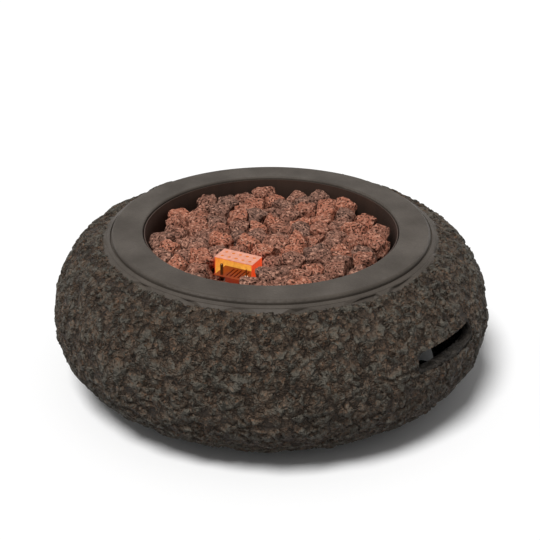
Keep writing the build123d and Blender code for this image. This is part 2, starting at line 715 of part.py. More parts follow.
def pilot_hood():
    x = HOOD_LENGTH / 2
    low = -BURNER_RADIUS - HOOD_DEPTH / 2
    top = HOOD_LEVEL + HOOD_HEIGHT
    hood = block((-x, low, HOOD_LEVEL), (x, BASE_INNER_Y, top))
    inside = x - HOOD_SHEET
    hood -= block(
        (-inside, low - 1, HOOD_LEVEL - 1), (inside, BASE_INNER_Y - HOOD_SHEET, top - HOOD_SHEET)
    )
    middle = (HOOD_COLUMNS - 1) / 2
    for column in range(HOOD_COLUMNS):
        for row in (-0.5, 0.5):
            hood -= post(
                HOOD_HOLE_RADIUS,
                HOOD_LEVEL,
                top + 1,
                (column - middle) * HOOD_HOLE_PITCH,
                -BURNER_RADIUS + row * HOOD_ROW_PITCH,
            )
    return turned(hood)


def pilot_bracket():
    x = HOOD_LENGTH / 2 + BASE_OVERHANG
    leg = LEG_WIDTH / 2
    plate = block((-x, BASE_OUTER_Y, BASE_LEVEL), (x, BASE_INNER_Y, HOOD_LEVEL))
    plate += block((-leg, BASE_OUTER_Y, PAN_FLOOR), (leg, BASE_OUTER_Y + HOOD_SHEET, HOOD_LEVEL))
    tab_level = PAN_FLOOR + HOOD_SHEET
    plate += block((-leg, BASE_OUTER_Y - LEG_TAB, PAN_FLOOR), (leg, BASE_OUTER_Y + HOOD_SHEET, tab_level))
    plate -= post(M4_RADIUS + FIT, PAN_FLOOR - 1, tab_level + 1, 0, BASE_OUTER_Y - LEG_TAB / 2)
    plate -= [
        post(CERAMIC_RADIUS + FIT, BASE_LEVEL - 1, HOOD_LEVEL + 1, side * PROBE_OFFSET, PROBE_Y)
        for side in (-1, 1)
    ]
    middle = (BASE_SLIT_COUNT - 1) / 2
    for k in range(BASE_SLIT_COUNT):
        place = (k - middle) * BASE_SLIT_PITCH
        plate -= block(
            (place - BASE_SLIT_WIDTH / 2, BASE_OUTER_Y + BASE_SLIT_MARGIN, BASE_LEVEL - 1),
            (place + BASE_SLIT_WIDTH / 2, BASE_INNER_Y - BASE_SLIT_MARGIN, HOOD_LEVEL + 1),
        )
    return turned(plate)


def pilot_screw():
    y = BASE_OUTER_Y - LEG_TAB / 2
    seat = PAN_FLOOR + HOOD_SHEET
    screw = post(M4_HEAD_RADIUS, seat, seat + M4_HEAD_HEIGHT, 0, y)
    screw += post(M4_RADIUS, PAN_UNDERSIDE - PILOT_SCREW_TAIL, seat, 0, y)
    nut = hexagon_z(M4_NUT_FLATS, PAN_UNDERSIDE - M4_NUT_HEIGHT, PAN_UNDERSIDE, 0, y)
    nut -= post(M4_RADIUS + FIT, PAN_UNDERSIDE - 2 * M4_NUT_HEIGHT, PAN_UNDERSIDE + 1, 0, y)
    return [turned(screw), turned(nut)]


def electrode_ceramic():
    top = HOOD_LEVEL + CERAMIC_ABOVE_BASE
    body = post(CERAMIC_RADIUS, PROBE_END, top, PROBE_OFFSET, PROBE_Y)
    flange_top = BASE_LEVEL - SEAT
    flange_low = flange_top - CERAMIC_FLANGE_HEIGHT
    body += post(CERAMIC_FLANGE_RADIUS, flange_low, flange_top, PROBE_OFFSET, PROBE_Y)
    return turned(body - post(ELECTRODE_RADIUS + FIT, PROBE_END - 1, top + 1, PROBE_OFFSET, PROBE_Y))


def electrode_rod():
    low = PROBE_END - ELECTRODE_TAIL
    top = HOOD_LEVEL + ELECTRODE_ABOVE_BASE
    return turned(post(ELECTRODE_RADIUS, low, top, PROBE_OFFSET, PROBE_Y))


def thermocouple():
    top = HOOD_LEVEL + THERMOCOUPLE_ABOVE_BASE
    probe = post(THERMOCOUPLE_RADIUS, PROBE_END, top, -PROBE_OFFSET, PROBE_Y)
    probe = fillet(probe.edges().group_by(Axis.Z)[-1], THERMOCOUPLE_RADIUS * 0.8)
    flange_top = BASE_LEVEL - SEAT
    flange_low = flange_top - CERAMIC_FLANGE_HEIGHT
    probe += post(CERAMIC_FLANGE_RADIUS, flange_low, flange_top, -PROBE_OFFSET, PROBE_Y)
    return turned(probe)


def lead_points(side, start_level, end_x, end_y):
    start = turned_point(side * PROBE_OFFSET, PROBE_Y, start_level)
    spread = side * LEAD_SPREAD
    return [
        start,
        (start[0], start[1], LEAD_LEVEL),
        (spread, -LEAD_SPREAD / 2, LEAD_LEVEL),
        (spread, LEAD_CROSSING, LEAD_LEVEL),
        (end_x, end_y - LEAD_TAIL - LEAD_RISE, LEAD_LEVEL),
        (end_x, end_y - LEAD_TAIL, PANEL_CENTRE),
        (end_x, end_y, PANEL_CENTRE),
    ]


def electrode_lead():
    end = IGNITER_REAR - IGNITER_POST_LENGTH - SEAT
    start = PROBE_END - ELECTRODE_TAIL - SEAT
    return tube_along(lead_points(1, start, IGNITER_X, end), LEAD_RADIUS, LEAD_BEND)


def thermocouple_lead():
    end = VALVE_REAR - MAGNET_HEX_LENGTH - SEAT
    return tube_along(lead_points(-1, PROBE_END - SEAT, VALVE_X, end), LEAD_RADIUS, LEAD_BEND)


def lead_clips():
    outer = LEAD_RADIUS + FIT + CLIP_WALL
    half = CLIP_WIDTH / 2
    clip = rod_y(outer, -half, half, 0, LEAD_LEVEL)
    clip += block((-CLIP_WALL / 2, -half, LEAD_LEVEL), (CLIP_WALL / 2, half, PAN_UNDERSIDE - SHEET))
    clip += block((-half, -half, PAN_UNDERSIDE - SHEET), (half, half, PAN_UNDERSIDE))
    clip -= rod_y(LEAD_RADIUS + FIT, -CLIP_WIDTH, CLIP_WIDTH, 0, LEAD_LEVEL)
    return [Pos(side * LEAD_SPREAD, 0, 0) * clip for side in (-1, 1)]


def control_panel():
    width = WINDOW_WIDTH + 2 * PANEL_LAP_X
    height = WINDOW_HEIGHT + 2 * PANEL_LAP_Z
    panel = window(width, height, WINDOW_CORNER / 2, PANEL_BACK, PANEL_FACE)
    through = (PANEL_BACK - 1, PANEL_FACE + 1)
    panel -= rod_y(STEM_RADIUS + LOOSE, *through, VALVE_X, PANEL_CENTRE)
    panel -= rod_y(IGNITER_RADIUS + FIT, *through, IGNITER_X, PANEL_CENTRE)
    for side in (-1, 1):
        panel -= rod_y(M4_RADIUS + FIT, *through, VALVE_X + side * VALVE_SCREW_OFFSET, PANEL_CENTRE)
    return panel - [rod_y(M4_RADIUS + FIT, *through, x, z) for x, z in panel_screw_points()]


def panel_screws():
    tip = PANEL_FACE + M4_INSERT_LENGTH
    head = PANEL_BACK - M4_HEAD_HEIGHT
    screws = []
    for x, z in panel_screw_points():
        screw = rod_y(M4_HEAD_RADIUS, head, PANEL_BACK, x, z)
        screws.append(screw + rod_y(M4_RADIUS, PANEL_BACK, tip, x, z))
    return screws


def gas_valve():
    half = VALVE_WIDTH / 2
    z = PANEL_CENTRE
    valve = block((VALVE_X - half, VALVE_REAR, z - half), (VALVE_X + half, PANEL_BACK, z + half))
    valve = fillet(valve.edges().filter_by(Axis.Y), VALVE_CORNER)
    valve -= rod_y(VALVE_BORE, VALVE_REAR - 1, VALVE_NOSE, VALVE_X, z)
    valve -= rod_y(STEM_RADIUS + LOOSE, VALVE_NOSE - 1, PANEL_BACK + 1, VALVE_X, z)
    valve -= rod_x(TUBE_RADIUS + FIT, VALVE_X - half - 1, VALVE_X, VALVE_NOSE - OUTLET_OFFSET, z)
    valve -= post(INLET_SPIGOT_RADIUS + FIT, z - half - 1, z, VALVE_X, VALVE_REAR + INLET_OFFSET)
    for side in (-1, 1):
        x = VALVE_X + side * VALVE_SCREW_OFFSET
        valve -= rod_y(M4_RADIUS + FIT, PANEL_BACK - VALVE_SCREW_LENGTH, PANEL_BACK + 1, x, z)
    return valve


def valve_screws():
    tip = PANEL_BACK - VALVE_SCREW_LENGTH + SEAT
    screws = []
    for x in (VALVE_X - VALVE_SCREW_OFFSET, VALVE_X + VALVE_SCREW_OFFSET):
        screw = rod_y(M4_HEAD_RADIUS, PANEL_FACE, PANEL_FACE + M4_HEAD_HEIGHT, x, PANEL_CENTRE)
        screws.append(screw + rod_y(M4_RADIUS, tip, PANEL_FACE, x, PANEL_CENTRE))
    return screws


def valve_plug():
    front = VALVE_NOSE - SEAT
    rear = front - PLUG_LENGTH
    plug = rod_y(VALVE_BORE - FIT, rear, front, VALVE_X, PANEL_CENTRE)
    plug -= rod_y(STEM_RADIUS + FIT, rear - 1, front + 1, VALVE_X, PANEL_CENTRE)
    y = VALVE_NOSE - OUTLET_OFFSET
    return plug - rod_x(PLUG_PORT_RADIUS, VALVE_X, VALVE_X + 2 * VALVE_BORE, y, PANEL_CENTRE)


def valve_stem():
    stem = rod_y(STEM_RADIUS, STEM_REAR, STEM_FRONT, VALVE_X, PANEL_CENTRE)
    flat = block(
        (VALVE_X - 2 * STEM_RADIUS, KNOB_BACK, PANEL_CENTRE - 2 * STEM_RADIUS),
        (VALVE_X + 2 * STEM_RADIUS, STEM_FRONT + 1, PANEL_CENTRE - STEM_FLAT),
    )
    return stem - flat


def spring_along_y(low, high, radius, wire, turns, x):
    # The wire's own thickness is taken off both ends, so the coil stands between its two seats.
    length = high - low - 2 * wire - 2 * SEAT
    coil = Helix(length / turns, length, radius)
    section = Plane(origin=coil @ 0, z_dir=coil % 0) * Circle(wire)
    spring = sweep(section, path=coil, is_frenet=True)
    return Pos(x, high - wire - SEAT, PANEL_CENTRE) * Rot(90, 0, 0) * spring


def valve_spring():
    seat = VALVE_REAR + MAGNET_COLLAR_LENGTH + MAGNET_CORE_LENGTH
    return spring_along_y(seat, STEM_REAR, SPRING_RADIUS, SPRING_WIRE, SPRING_TURNS, VALVE_X)


def magnet_unit():
    collar = VALVE_REAR + MAGNET_COLLAR_LENGTH
    unit = hexagon_y(MAGNET_FLATS, VALVE_REAR - MAGNET_HEX_LENGTH, VALVE_REAR, VALVE_X, PANEL_CENTRE)
    unit += rod_y(VALVE_BORE - FIT, VALVE_REAR, collar, VALVE_X, PANEL_CENTRE)
    return unit + rod_y(MAGNET_CORE_RADIUS, collar, collar + MAGNET_CORE_LENGTH, VALVE_X, PANEL_CENTRE)


def inlet_fitting():
    x = VALVE_X
    y = VALVE_REAR + INLET_OFFSET
    face = PANEL_CENTRE - VALVE_WIDTH / 2
    hex_low = face - INLET_HEX_HEIGHT
    thread_low = hex_low - INLET_THREAD_LENGTH
    tip = thread_low - INLET_CONE
    fitting = hexagon_z(INLET_FLATS, hex_low, face, x, y)
    fitting += post(INLET_SPIGOT_RADIUS, face, face + INLET_SPIGOT_LENGTH, x, y)
    fitting += post(INLET_THREAD_RADIUS, thread_low, hex_low, x, y)
    cone = Cone(INLET_THREAD_RADIUS - INLET_CONE, INLET_THREAD_RADIUS, INLET_CONE)
    fitting += Pos(x, y, (tip + thread_low) / 2) * cone
    return fitting - post(INLET_BORE, tip - 1, face + INLET_SPIGOT_LENGTH + 1, x, y)


def control_knob():
    grip_low = KNOB_SKIRT_HEIGHT
    outline = Polyline(
        (0, 0),
        (KNOB_SKIRT_RADIUS, 0),
        (KNOB_SKIRT_RADIUS, KNOB_SKIRT_HEIGHT - 1),
        (KNOB_GRIP_RADIUS, grip_low + 1),
        (KNOB_TIP_RADIUS, KNOB_LENGTH),
        (0, KNOB_LENGTH),
        close=True,
    )
    knob = spun(outline.edges())
    knob = fillet(knob.edges().group_by(Axis.Z)[-1], KNOB_EDGE_ROUND)
    flute_place = KNOB_GRIP_RADIUS + KNOB_FLUTE_RADIUS / 3
    flute = post(KNOB_FLUTE_RADIUS, grip_low + 2, KNOB_LENGTH + 1, flute_place)
    knob -= around(KNOB_FLUTES, flute, 180.0 / KNOB_FLUTES)
    half = KNOB_LINE_WIDTH / 2
    line_low = KNOB_LENGTH - KNOB_LINE_DEPTH
    knob -= block((-half, KNOB_LINE_START, line_low), (half, KNOB_SKIRT_RADIUS, KNOB_LENGTH + 1))
    socket = post(STEM_RADIUS + FIT, -1, KNOB_SOCKET)
    socket -= block(
        (-2 * STEM_RADIUS, -2 * STEM_RADIUS, -2), (2 * STEM_RADIUS, -STEM_FLAT - FIT, KNOB_SOCKET + 1)
    )
    knob -= socket
    return Pos(VALVE_X, KNOB_BACK, PANEL_CENTRE) * Rot(-90, 0, 0) * Rot(0, 0, 180) * knob


def igniter_housing():
    z = PANEL_CENTRE
    front = PANEL_FACE + IGNITER_FLANGE
    housing = rod_y(IGNITER_RADIUS, IGNITER_REAR, PANEL_FACE, IGNITER_X, z)
    housing += rod_y(IGNITER_FLANGE_RADIUS, PANEL_FACE, front, IGNITER_X, z)
    housing -= rod_y(IGNITER_BORE, IGNITER_REAR + IGNITER_END, PANEL_FACE, IGNITER_X, z)
    housing -= rod_y(BUTTON_RADIUS + FIT, PANEL_FACE - 1, front + 1, IGNITER_X, z)
    end = IGNITER_REAR - IGNITER_POST_LENGTH
    return housing + rod_y(IGNITER_POST_RADIUS, end, IGNITER_REAR, IGNITER_X, z)


def igniter_nut():
    low = PANEL_BACK - IGNITER_NUT_LENGTH
    nut = hexagon_y(IGNITER_NUT_FLATS, low, PANEL_BACK, IGNITER_X, PANEL_CENTRE)
    return nut - rod_y(IGNITER_RADIUS + FIT, low - 1, PANEL_BACK + 1, IGNITER_X, PANEL_CENTRE)


def igniter_battery():
    rear = IGNITER_REAR + IGNITER_END + SEAT
    end = rear + BATTERY_LENGTH
    cell = rod_y(BATTERY_RADIUS, rear, end - BATTERY_NUB_HEIGHT, IGNITER_X, PANEL_CENTRE)
    return cell + rod_y(BATTERY_NUB_RADIUS, rear, end, IGNITER_X, PANEL_CENTRE)


def igniter_spring():
    seat = IGNITER_REAR + IGNITER_END + SEAT + BATTERY_LENGTH
    turns = BATTERY_SPRING_TURNS
    return spring_along_y(seat, BUTTON_BACK, SPRING_RADIUS, SPRING_WIRE, turns, IGNITER_X)


def igniter_button():
    front = PANEL_FACE + IGNITER_FLANGE + BUTTON_PROUD
    button = rod_y(BUTTON_RADIUS - FIT, BUTTON_BACK, front, IGNITER_X, PANEL_CENTRE)
    button = fillet(button.edges().group_by(Axis.Y)[-1], BUTTON_ROUND)
    collar = BUTTON_BACK + BUTTON_COLLAR
    return button + rod_y(IGNITER_BORE - FIT, BUTTON_BACK, collar, IGNITER_X, PANEL_CENTRE)


def radial(angle):
    return np.array([math.cos(angle), math.sin(angle), 0.0])


def rock_seeds(rng):
    # Centre and radius of each rock: two sunflower layers, shaken a little, that dip in front of the hood.
    seeds = []
    reach = PAN_INNER - ROCK_WALL_REACH
    low_layer = (ROCK_LOW_PITCH, ROCK_LOW_LEVEL, ROCK_LOW_RADIUS)
    top_layer = (ROCK_TOP_PITCH, ROCK_TOP_LEVEL, ROCK_TOP_RADIUS)
    for pitch, level, radius in (low_layer, top_layer):
        count = round(math.pi * (reach / pitch) ** 2)
        for k in range(count):
            share = (k + 0.5) / count
            angle = k * math.pi * (3 - math.sqrt(5)) + level
            centre = reach * math.sqrt(share) * radial(angle) + [0, 0, PAN_FLOOR + level]
            centre += rng.uniform(-ROCK_JITTER, ROCK_JITTER, 3)
            if box_plane(centre, *hood_clearing())[0] < ROCK_LEAST:
                centre[2] -= ROCK_DIP
            seeds.append((centre, radius))
    return seeds


def hood_clearing():
    # Box in front of the hood that no rock stands in, so that the flame finds its way out.
    half = HOOD_LENGTH * ROCK_CLEARING_SHARE / 2
    low = (-half, BASE_OUTER_Y - ROCK_CLEARING, BASE_LEVEL - ROCK_CLEARING_DROP)
    return low, (half, BASE_OUTER_Y, OVERALL_HEIGHT), PILOT_ANGLE


def box_plane(seed, low, high, angle):
    # Half-space on the seed's side of the box face that stands furthest from it, and that distance.
    turn = math.radians(angle)
    across = radial(turn)
    along = radial(turn + math.pi / 2)
    up = np.array([0.0, 0.0, 1.0])
    best = None
    for axis, a, b in zip((across, along, up), low, high):
        for normal, face in ((axis, b), (-axis, -a)):
            distance = normal @ seed - face
            if best is None or distance > best[0]:
                best = (distance, [*(-normal), face + ROCK_GAP])
    return best


def rock_obstacles():
    half = HOOD_LENGTH / 2 + BASE_OVERHANG
    probe = PROBE_OFFSET + CERAMIC_FLANGE_RADIUS
    spoke = BURNER_TUBE_RADIUS
    front = PROBE_Y - CERAMIC_FLANGE_RADIUS
    under = BASE_LEVEL - SEAT - CERAMIC_FLANGE_HEIGHT - ROCK_GAP
    return [
        hood_clearing(),
        ((-half, BASE_OUTER_Y, under), (half, BASE_INNER_Y, HOOD_LEVEL + HOOD_HEIGHT), PILOT_ANGLE),
        ((-probe, min(BASE_OUTER_Y, front), PAN_FLOOR), (probe, -BURNER_RADIUS, HOOD_LEVEL), PILOT_ANGLE),
        (
            (-LEG_WIDTH / 2, BASE_OUTER_Y - LEG_TAB, PAN_FLOOR),
            (LEG_WIDTH / 2, BASE_OUTER_Y, PAN_FLOOR + HOOD_SHEET + M4_HEAD_HEIGHT),
            PILOT_ANGLE,
        ),
        ((-HUB_RADIUS, -HUB_RADIUS, PAN_FLOOR), (HUB_RADIUS, HUB_RADIUS, PAN_FLOOR + HUB_HEIGHT), 0.0),
        ((-BURNER_RADIUS, -spoke, BURNER_LEVEL - spoke), (BURNER_RADIUS, spoke, BURNER_LEVEL + spoke), 0.0),
    ]


def pan_planes(seed):
    heading = math.atan2(seed[1], seed[0])
    step = math.radians(6)
    shrink = math.cos(step / 2)
    planes = [[0.0, 0.0, -1.0, PAN_FLOOR + ROCK_GAP]]
    corner = PAN_INNER - PAN_CORNER
    for k in range(-2, 3):
        out = radial(heading + k * step)
        for tilt in (0.0, 22.5, 45.0, 67.5):
            normal = math.cos(math.radians(tilt)) * out - [0, 0, math.sin(math.radians(tilt))]
            centre = corner * out + [0, 0, PAN_FLOOR + PAN_CORNER]
            planes.append([*normal, -(normal @ centre) - PAN_CORNER * shrink * 0.98 + ROCK_GAP])
    return planes


def burner_planes(seed):
    heading = math.atan2(seed[1], seed[0])
    planes = []
    for k in range(-5, 6):
        centre = BURNER_RADIUS * radial(heading + math.radians(4 * k)) + [0, 0, BURNER_LEVEL]
        normal = (seed - centre) / np.linalg.norm(seed - centre)
        planes.append([*(-normal), normal @ centre + BURNER_TUBE_RADIUS + ROCK_GAP])
    return planes


def polyhedron(halfspaces, inside):
    corners = HalfspaceIntersection(np.array(halfspaces), inside).intersections
    kept = []
    for corner in np.unique(np.round(corners, 2), axis=0):
        if all(np.linalg.norm(corner - other) > ROCK_EDGE for other in kept):
            kept.append(corner)
    corners = np.array(kept)
    hull = ConvexHull(corners)
    faces = []
    for triangle, plane in zip(hull.simplices, hull.equations):
        a, b, c = corners[triangle]
        if np.cross(b - a, c - a) @ plane[:3] < 0:
            b, c = c, b
        faces.append(Face(Wire.make_polygon([Vector(*a), Vector(*b), Vector(*c)])))
    return Solid(Shell(faces))


def lava_rocks():
    rng = np.random.default_rng(ROCK_SEED)
    obstacles = rock_obstacles()
    seeds = []
    for centre, radius in rock_seeds(rng):
        room = min(box_plane(centre, *obstacle)[0] for obstacle in obstacles)
        ring = math.hypot(math.hypot(centre[0], centre[1]) - BURNER_RADIUS, centre[2] - BURNER_LEVEL)
        if min(room, ring - BURNER_TUBE_RADIUS) > ROCK_LEAST:
            seeds.append((centre, radius))
    rocks = []
    for centre, radius in seeds:
        planes = pan_planes(centre) + burner_planes(centre)
        planes += [box_plane(centre, *obstacle)[1] for obstacle in obstacles]
        for other, _ in seeds:
            apart = np.linalg.norm(other - centre)
            if 0 < apart < 5 * radius:
                normal = (other - centre) / apart
                planes.append([*normal, -(normal @ (centre + other)) / 2 + ROCK_GAP / 2])
        spin = rng.uniform(0, 2 * math.pi)
        tilt = math.radians(rng.uniform(0, ROCK_TILT))
        crown = math.sin(tilt) * radial(spin) + [0, 0, math.cos(tilt)]
        planes.append([*crown, -(crown @ centre) - ROCK_CROWN * radius])
        for k in range(ROCK_FACETS):
            height = 1 - 2 * (k + 0.5) / ROCK_FACETS
            flat = math.sqrt(1 - height ** 2)
            normal = flat * radial(spin + k * math.pi * (3 - math.sqrt(5))) + [0, 0, height]
            reach = radius * rng.uniform(1 - ROCK_SPREAD, 1 + ROCK_SPREAD)
            planes.append([*normal, -(normal @ centre) - reach])
        rocks.append(polyhedron(planes, centre))
    return rocks


BUILDERS = {
    "stone_body": stone_body,
    "threaded_inserts": threaded_inserts,
    "rubber_feet": rubber_feet,
    "foot_screws": foot_screws,
    "burner_pan": burner_pan,
    "pan_brackets": pan_brackets,
    "pan_screws": pan_screws,
    "burner_ring": burner_ring,
    "burner_nipple": burner_nipple,
    "burner_locknut": burner_locknut,
    "air_mixer": air_mixer,
    "gas_jet": gas_jet,
    "supply_tube": supply_tube,
    "flare_nut": flare_nut,
    "lava_rocks": lava_rocks,
    "pilot_hood": pilot_hood,
    "pilot_bracket": pilot_bracket,
    "pilot_screw": pilot_screw,
    "electrode_ceramic": electrode_ceramic,
    "electrode_rod": electrode_rod,
    "thermocouple": thermocouple,
    "electrode_lead": electrode_lead,
    "thermocouple_lead": thermocouple_lead,
    "lead_clips": lead_clips,
    "control_panel": control_panel,
    "panel_screws": panel_screws,
    "gas_valve": gas_valve,
    "valve_screws": valve_screws,
    "valve_plug": valve_plug,
    "valve_stem": valve_stem,
    "valve_spring": valve_spring,
    "magnet_unit": magnet_unit,
    "inlet_fitting": inlet_fitting,
    "control_knob": control_knob,
    "igniter_housing": igniter_housing,
    "igniter_nut": igniter_nut,
    "igniter_battery": igniter_battery,
    "igniter_spring": igniter_spring,
    "igniter_button": igniter_button,
}

os.makedirs("parts", exist_ok=True)
for name, builder in BUILDERS.items():
    shape = builder()
    if isinstance(shape, list):
        solids = [solid for item in shape for solid in item.solids()]
        shape = Compound(children=solids)
    export_step(shape, f"parts/{name}.step")
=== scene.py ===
import json
import math
from functools import partial

import bpy
import numpy as np
from bpy.props import FloatProperty, FloatVectorProperty, IntProperty, PointerProperty
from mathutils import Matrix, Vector


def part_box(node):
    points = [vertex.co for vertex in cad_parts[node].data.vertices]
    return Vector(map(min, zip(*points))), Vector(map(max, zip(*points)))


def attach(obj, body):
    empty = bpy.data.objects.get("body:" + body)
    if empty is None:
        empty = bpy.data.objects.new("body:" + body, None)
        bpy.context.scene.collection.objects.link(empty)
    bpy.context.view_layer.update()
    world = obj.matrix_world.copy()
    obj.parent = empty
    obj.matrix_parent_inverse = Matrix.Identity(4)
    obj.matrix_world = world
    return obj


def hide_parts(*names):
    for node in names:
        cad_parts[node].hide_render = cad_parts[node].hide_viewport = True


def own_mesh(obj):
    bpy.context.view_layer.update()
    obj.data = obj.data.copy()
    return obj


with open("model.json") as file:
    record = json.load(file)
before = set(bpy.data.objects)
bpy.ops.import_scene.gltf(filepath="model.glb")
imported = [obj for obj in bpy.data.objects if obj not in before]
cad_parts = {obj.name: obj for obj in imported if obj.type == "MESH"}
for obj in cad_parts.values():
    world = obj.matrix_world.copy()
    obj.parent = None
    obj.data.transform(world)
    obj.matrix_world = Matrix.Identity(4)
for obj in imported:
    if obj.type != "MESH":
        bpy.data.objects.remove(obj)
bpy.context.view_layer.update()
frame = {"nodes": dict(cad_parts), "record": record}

bl_info = {
    "name": "Propane fire pit",
    "version": (1, 0, 0),
    "blender": (4, 5, 0),
    "location": "View3D > Sidebar > Fire pit",
    "description": "Dresses the packed fire pit: rough cast face, lava rock, hot guard and metal finishes",
    "category": "Object",
}

MM = 0.001
IMAGE_WIDTH = 540
SENSOR_WIDTH = 36.0
OTHER_FAMILIES = ("GeometryNode", "FunctionNode", "NodeGroup")
# Nearly all of a noise's values lie between these.
NOISE_SPREAD = {"From Min": 0.3, "From Max": 0.7}
HALF = (0.5, 0.5, 0.5)
CAD_MERGE = 0.02 * MM
SPIN_MERGE = 0.2 * MM
FLOOR_SIZE = 16.0
LAMP_SIDE = Vector((0.1, -0.5, 1.0))
CLIP = (0.05, 50.0)
# How often each part of the heap is divided: the top of it, which shows, more than the rest.
LAVA_LEVELS = {"lava_rock_top_left": 3, "lava_rock_top_right": 3, "lava_rock_low": 2}
# A bowl's radius as a share of its cell's width, and how steep its wall is.
BOWL_REACH = 0.6
BOWL_POWER = 2.5
# Widths and heights of the patterns in the finishes.
STAIN_FROM, STAIN_FULL = 4.5 * MM, 1.0 * MM
RIM_CLOUD, RIM_SAND, RIM_SAND_HEIGHT = 60 * MM, 3 * MM, 0.24 * MM
RIM_FROM, RIM_FULL = 9 * MM, 7 * MM
RAW_PIT = 4 * MM
LAVA_CLOUD, LAVA_GRAIN, LAVA_GRAIN_HEIGHT = 20 * MM, 1.5 * MM, 1.0 * MM
BUBBLE_DEPTH = 1.2 * MM
TARNISH, METAL_GRAIN, METAL_GRAIN_HEIGHT = 14 * MM, 0.8 * MM, 0.08 * MM
SOOT, PAN_SCALE, PAN_SCALE_HEIGHT = 16 * MM, 2.5 * MM, 0.2 * MM
HOT_SCALE, HOT_WALL, PLATE_FROM, PLATE_FULL = 6 * MM, 2 * MM, 1.0 * MM, 0.3 * MM
POINTER_HALF_WIDTH, POINTER_START, POINTER_DEPTH = 1.05 * MM, 3.5 * MM, 1.0 * MM


def linear(code):
    """An sRGB hex colour as linear red, green and blue."""
    parts = [int(code[k : k + 2], 16) / 255 for k in (1, 3, 5)]
    return tuple(p / 12.92 if p <= 0.04045 else ((p + 0.055) / 1.055) ** 2.4 for p in parts)


def colour(name, description, code):
    return FloatVectorProperty(
        name=name, description=description, default=linear(code), subtype="COLOR", size=3, min=0.0, max=1.0
    )


def length(name, description, millimetres):
    return FloatProperty(name=name, description=description, default=millimetres * MM, min=0.0, unit="LENGTH")


def number(name, description, value):
    return FloatProperty(name=name, description=description, default=value)


def count(name, description, value):
    return IntProperty(name=name, description=description, default=value, min=1)


def angle(name, description, degrees):
    return FloatProperty(name=name, description=description, default=math.radians(degrees), subtype="ANGLE")


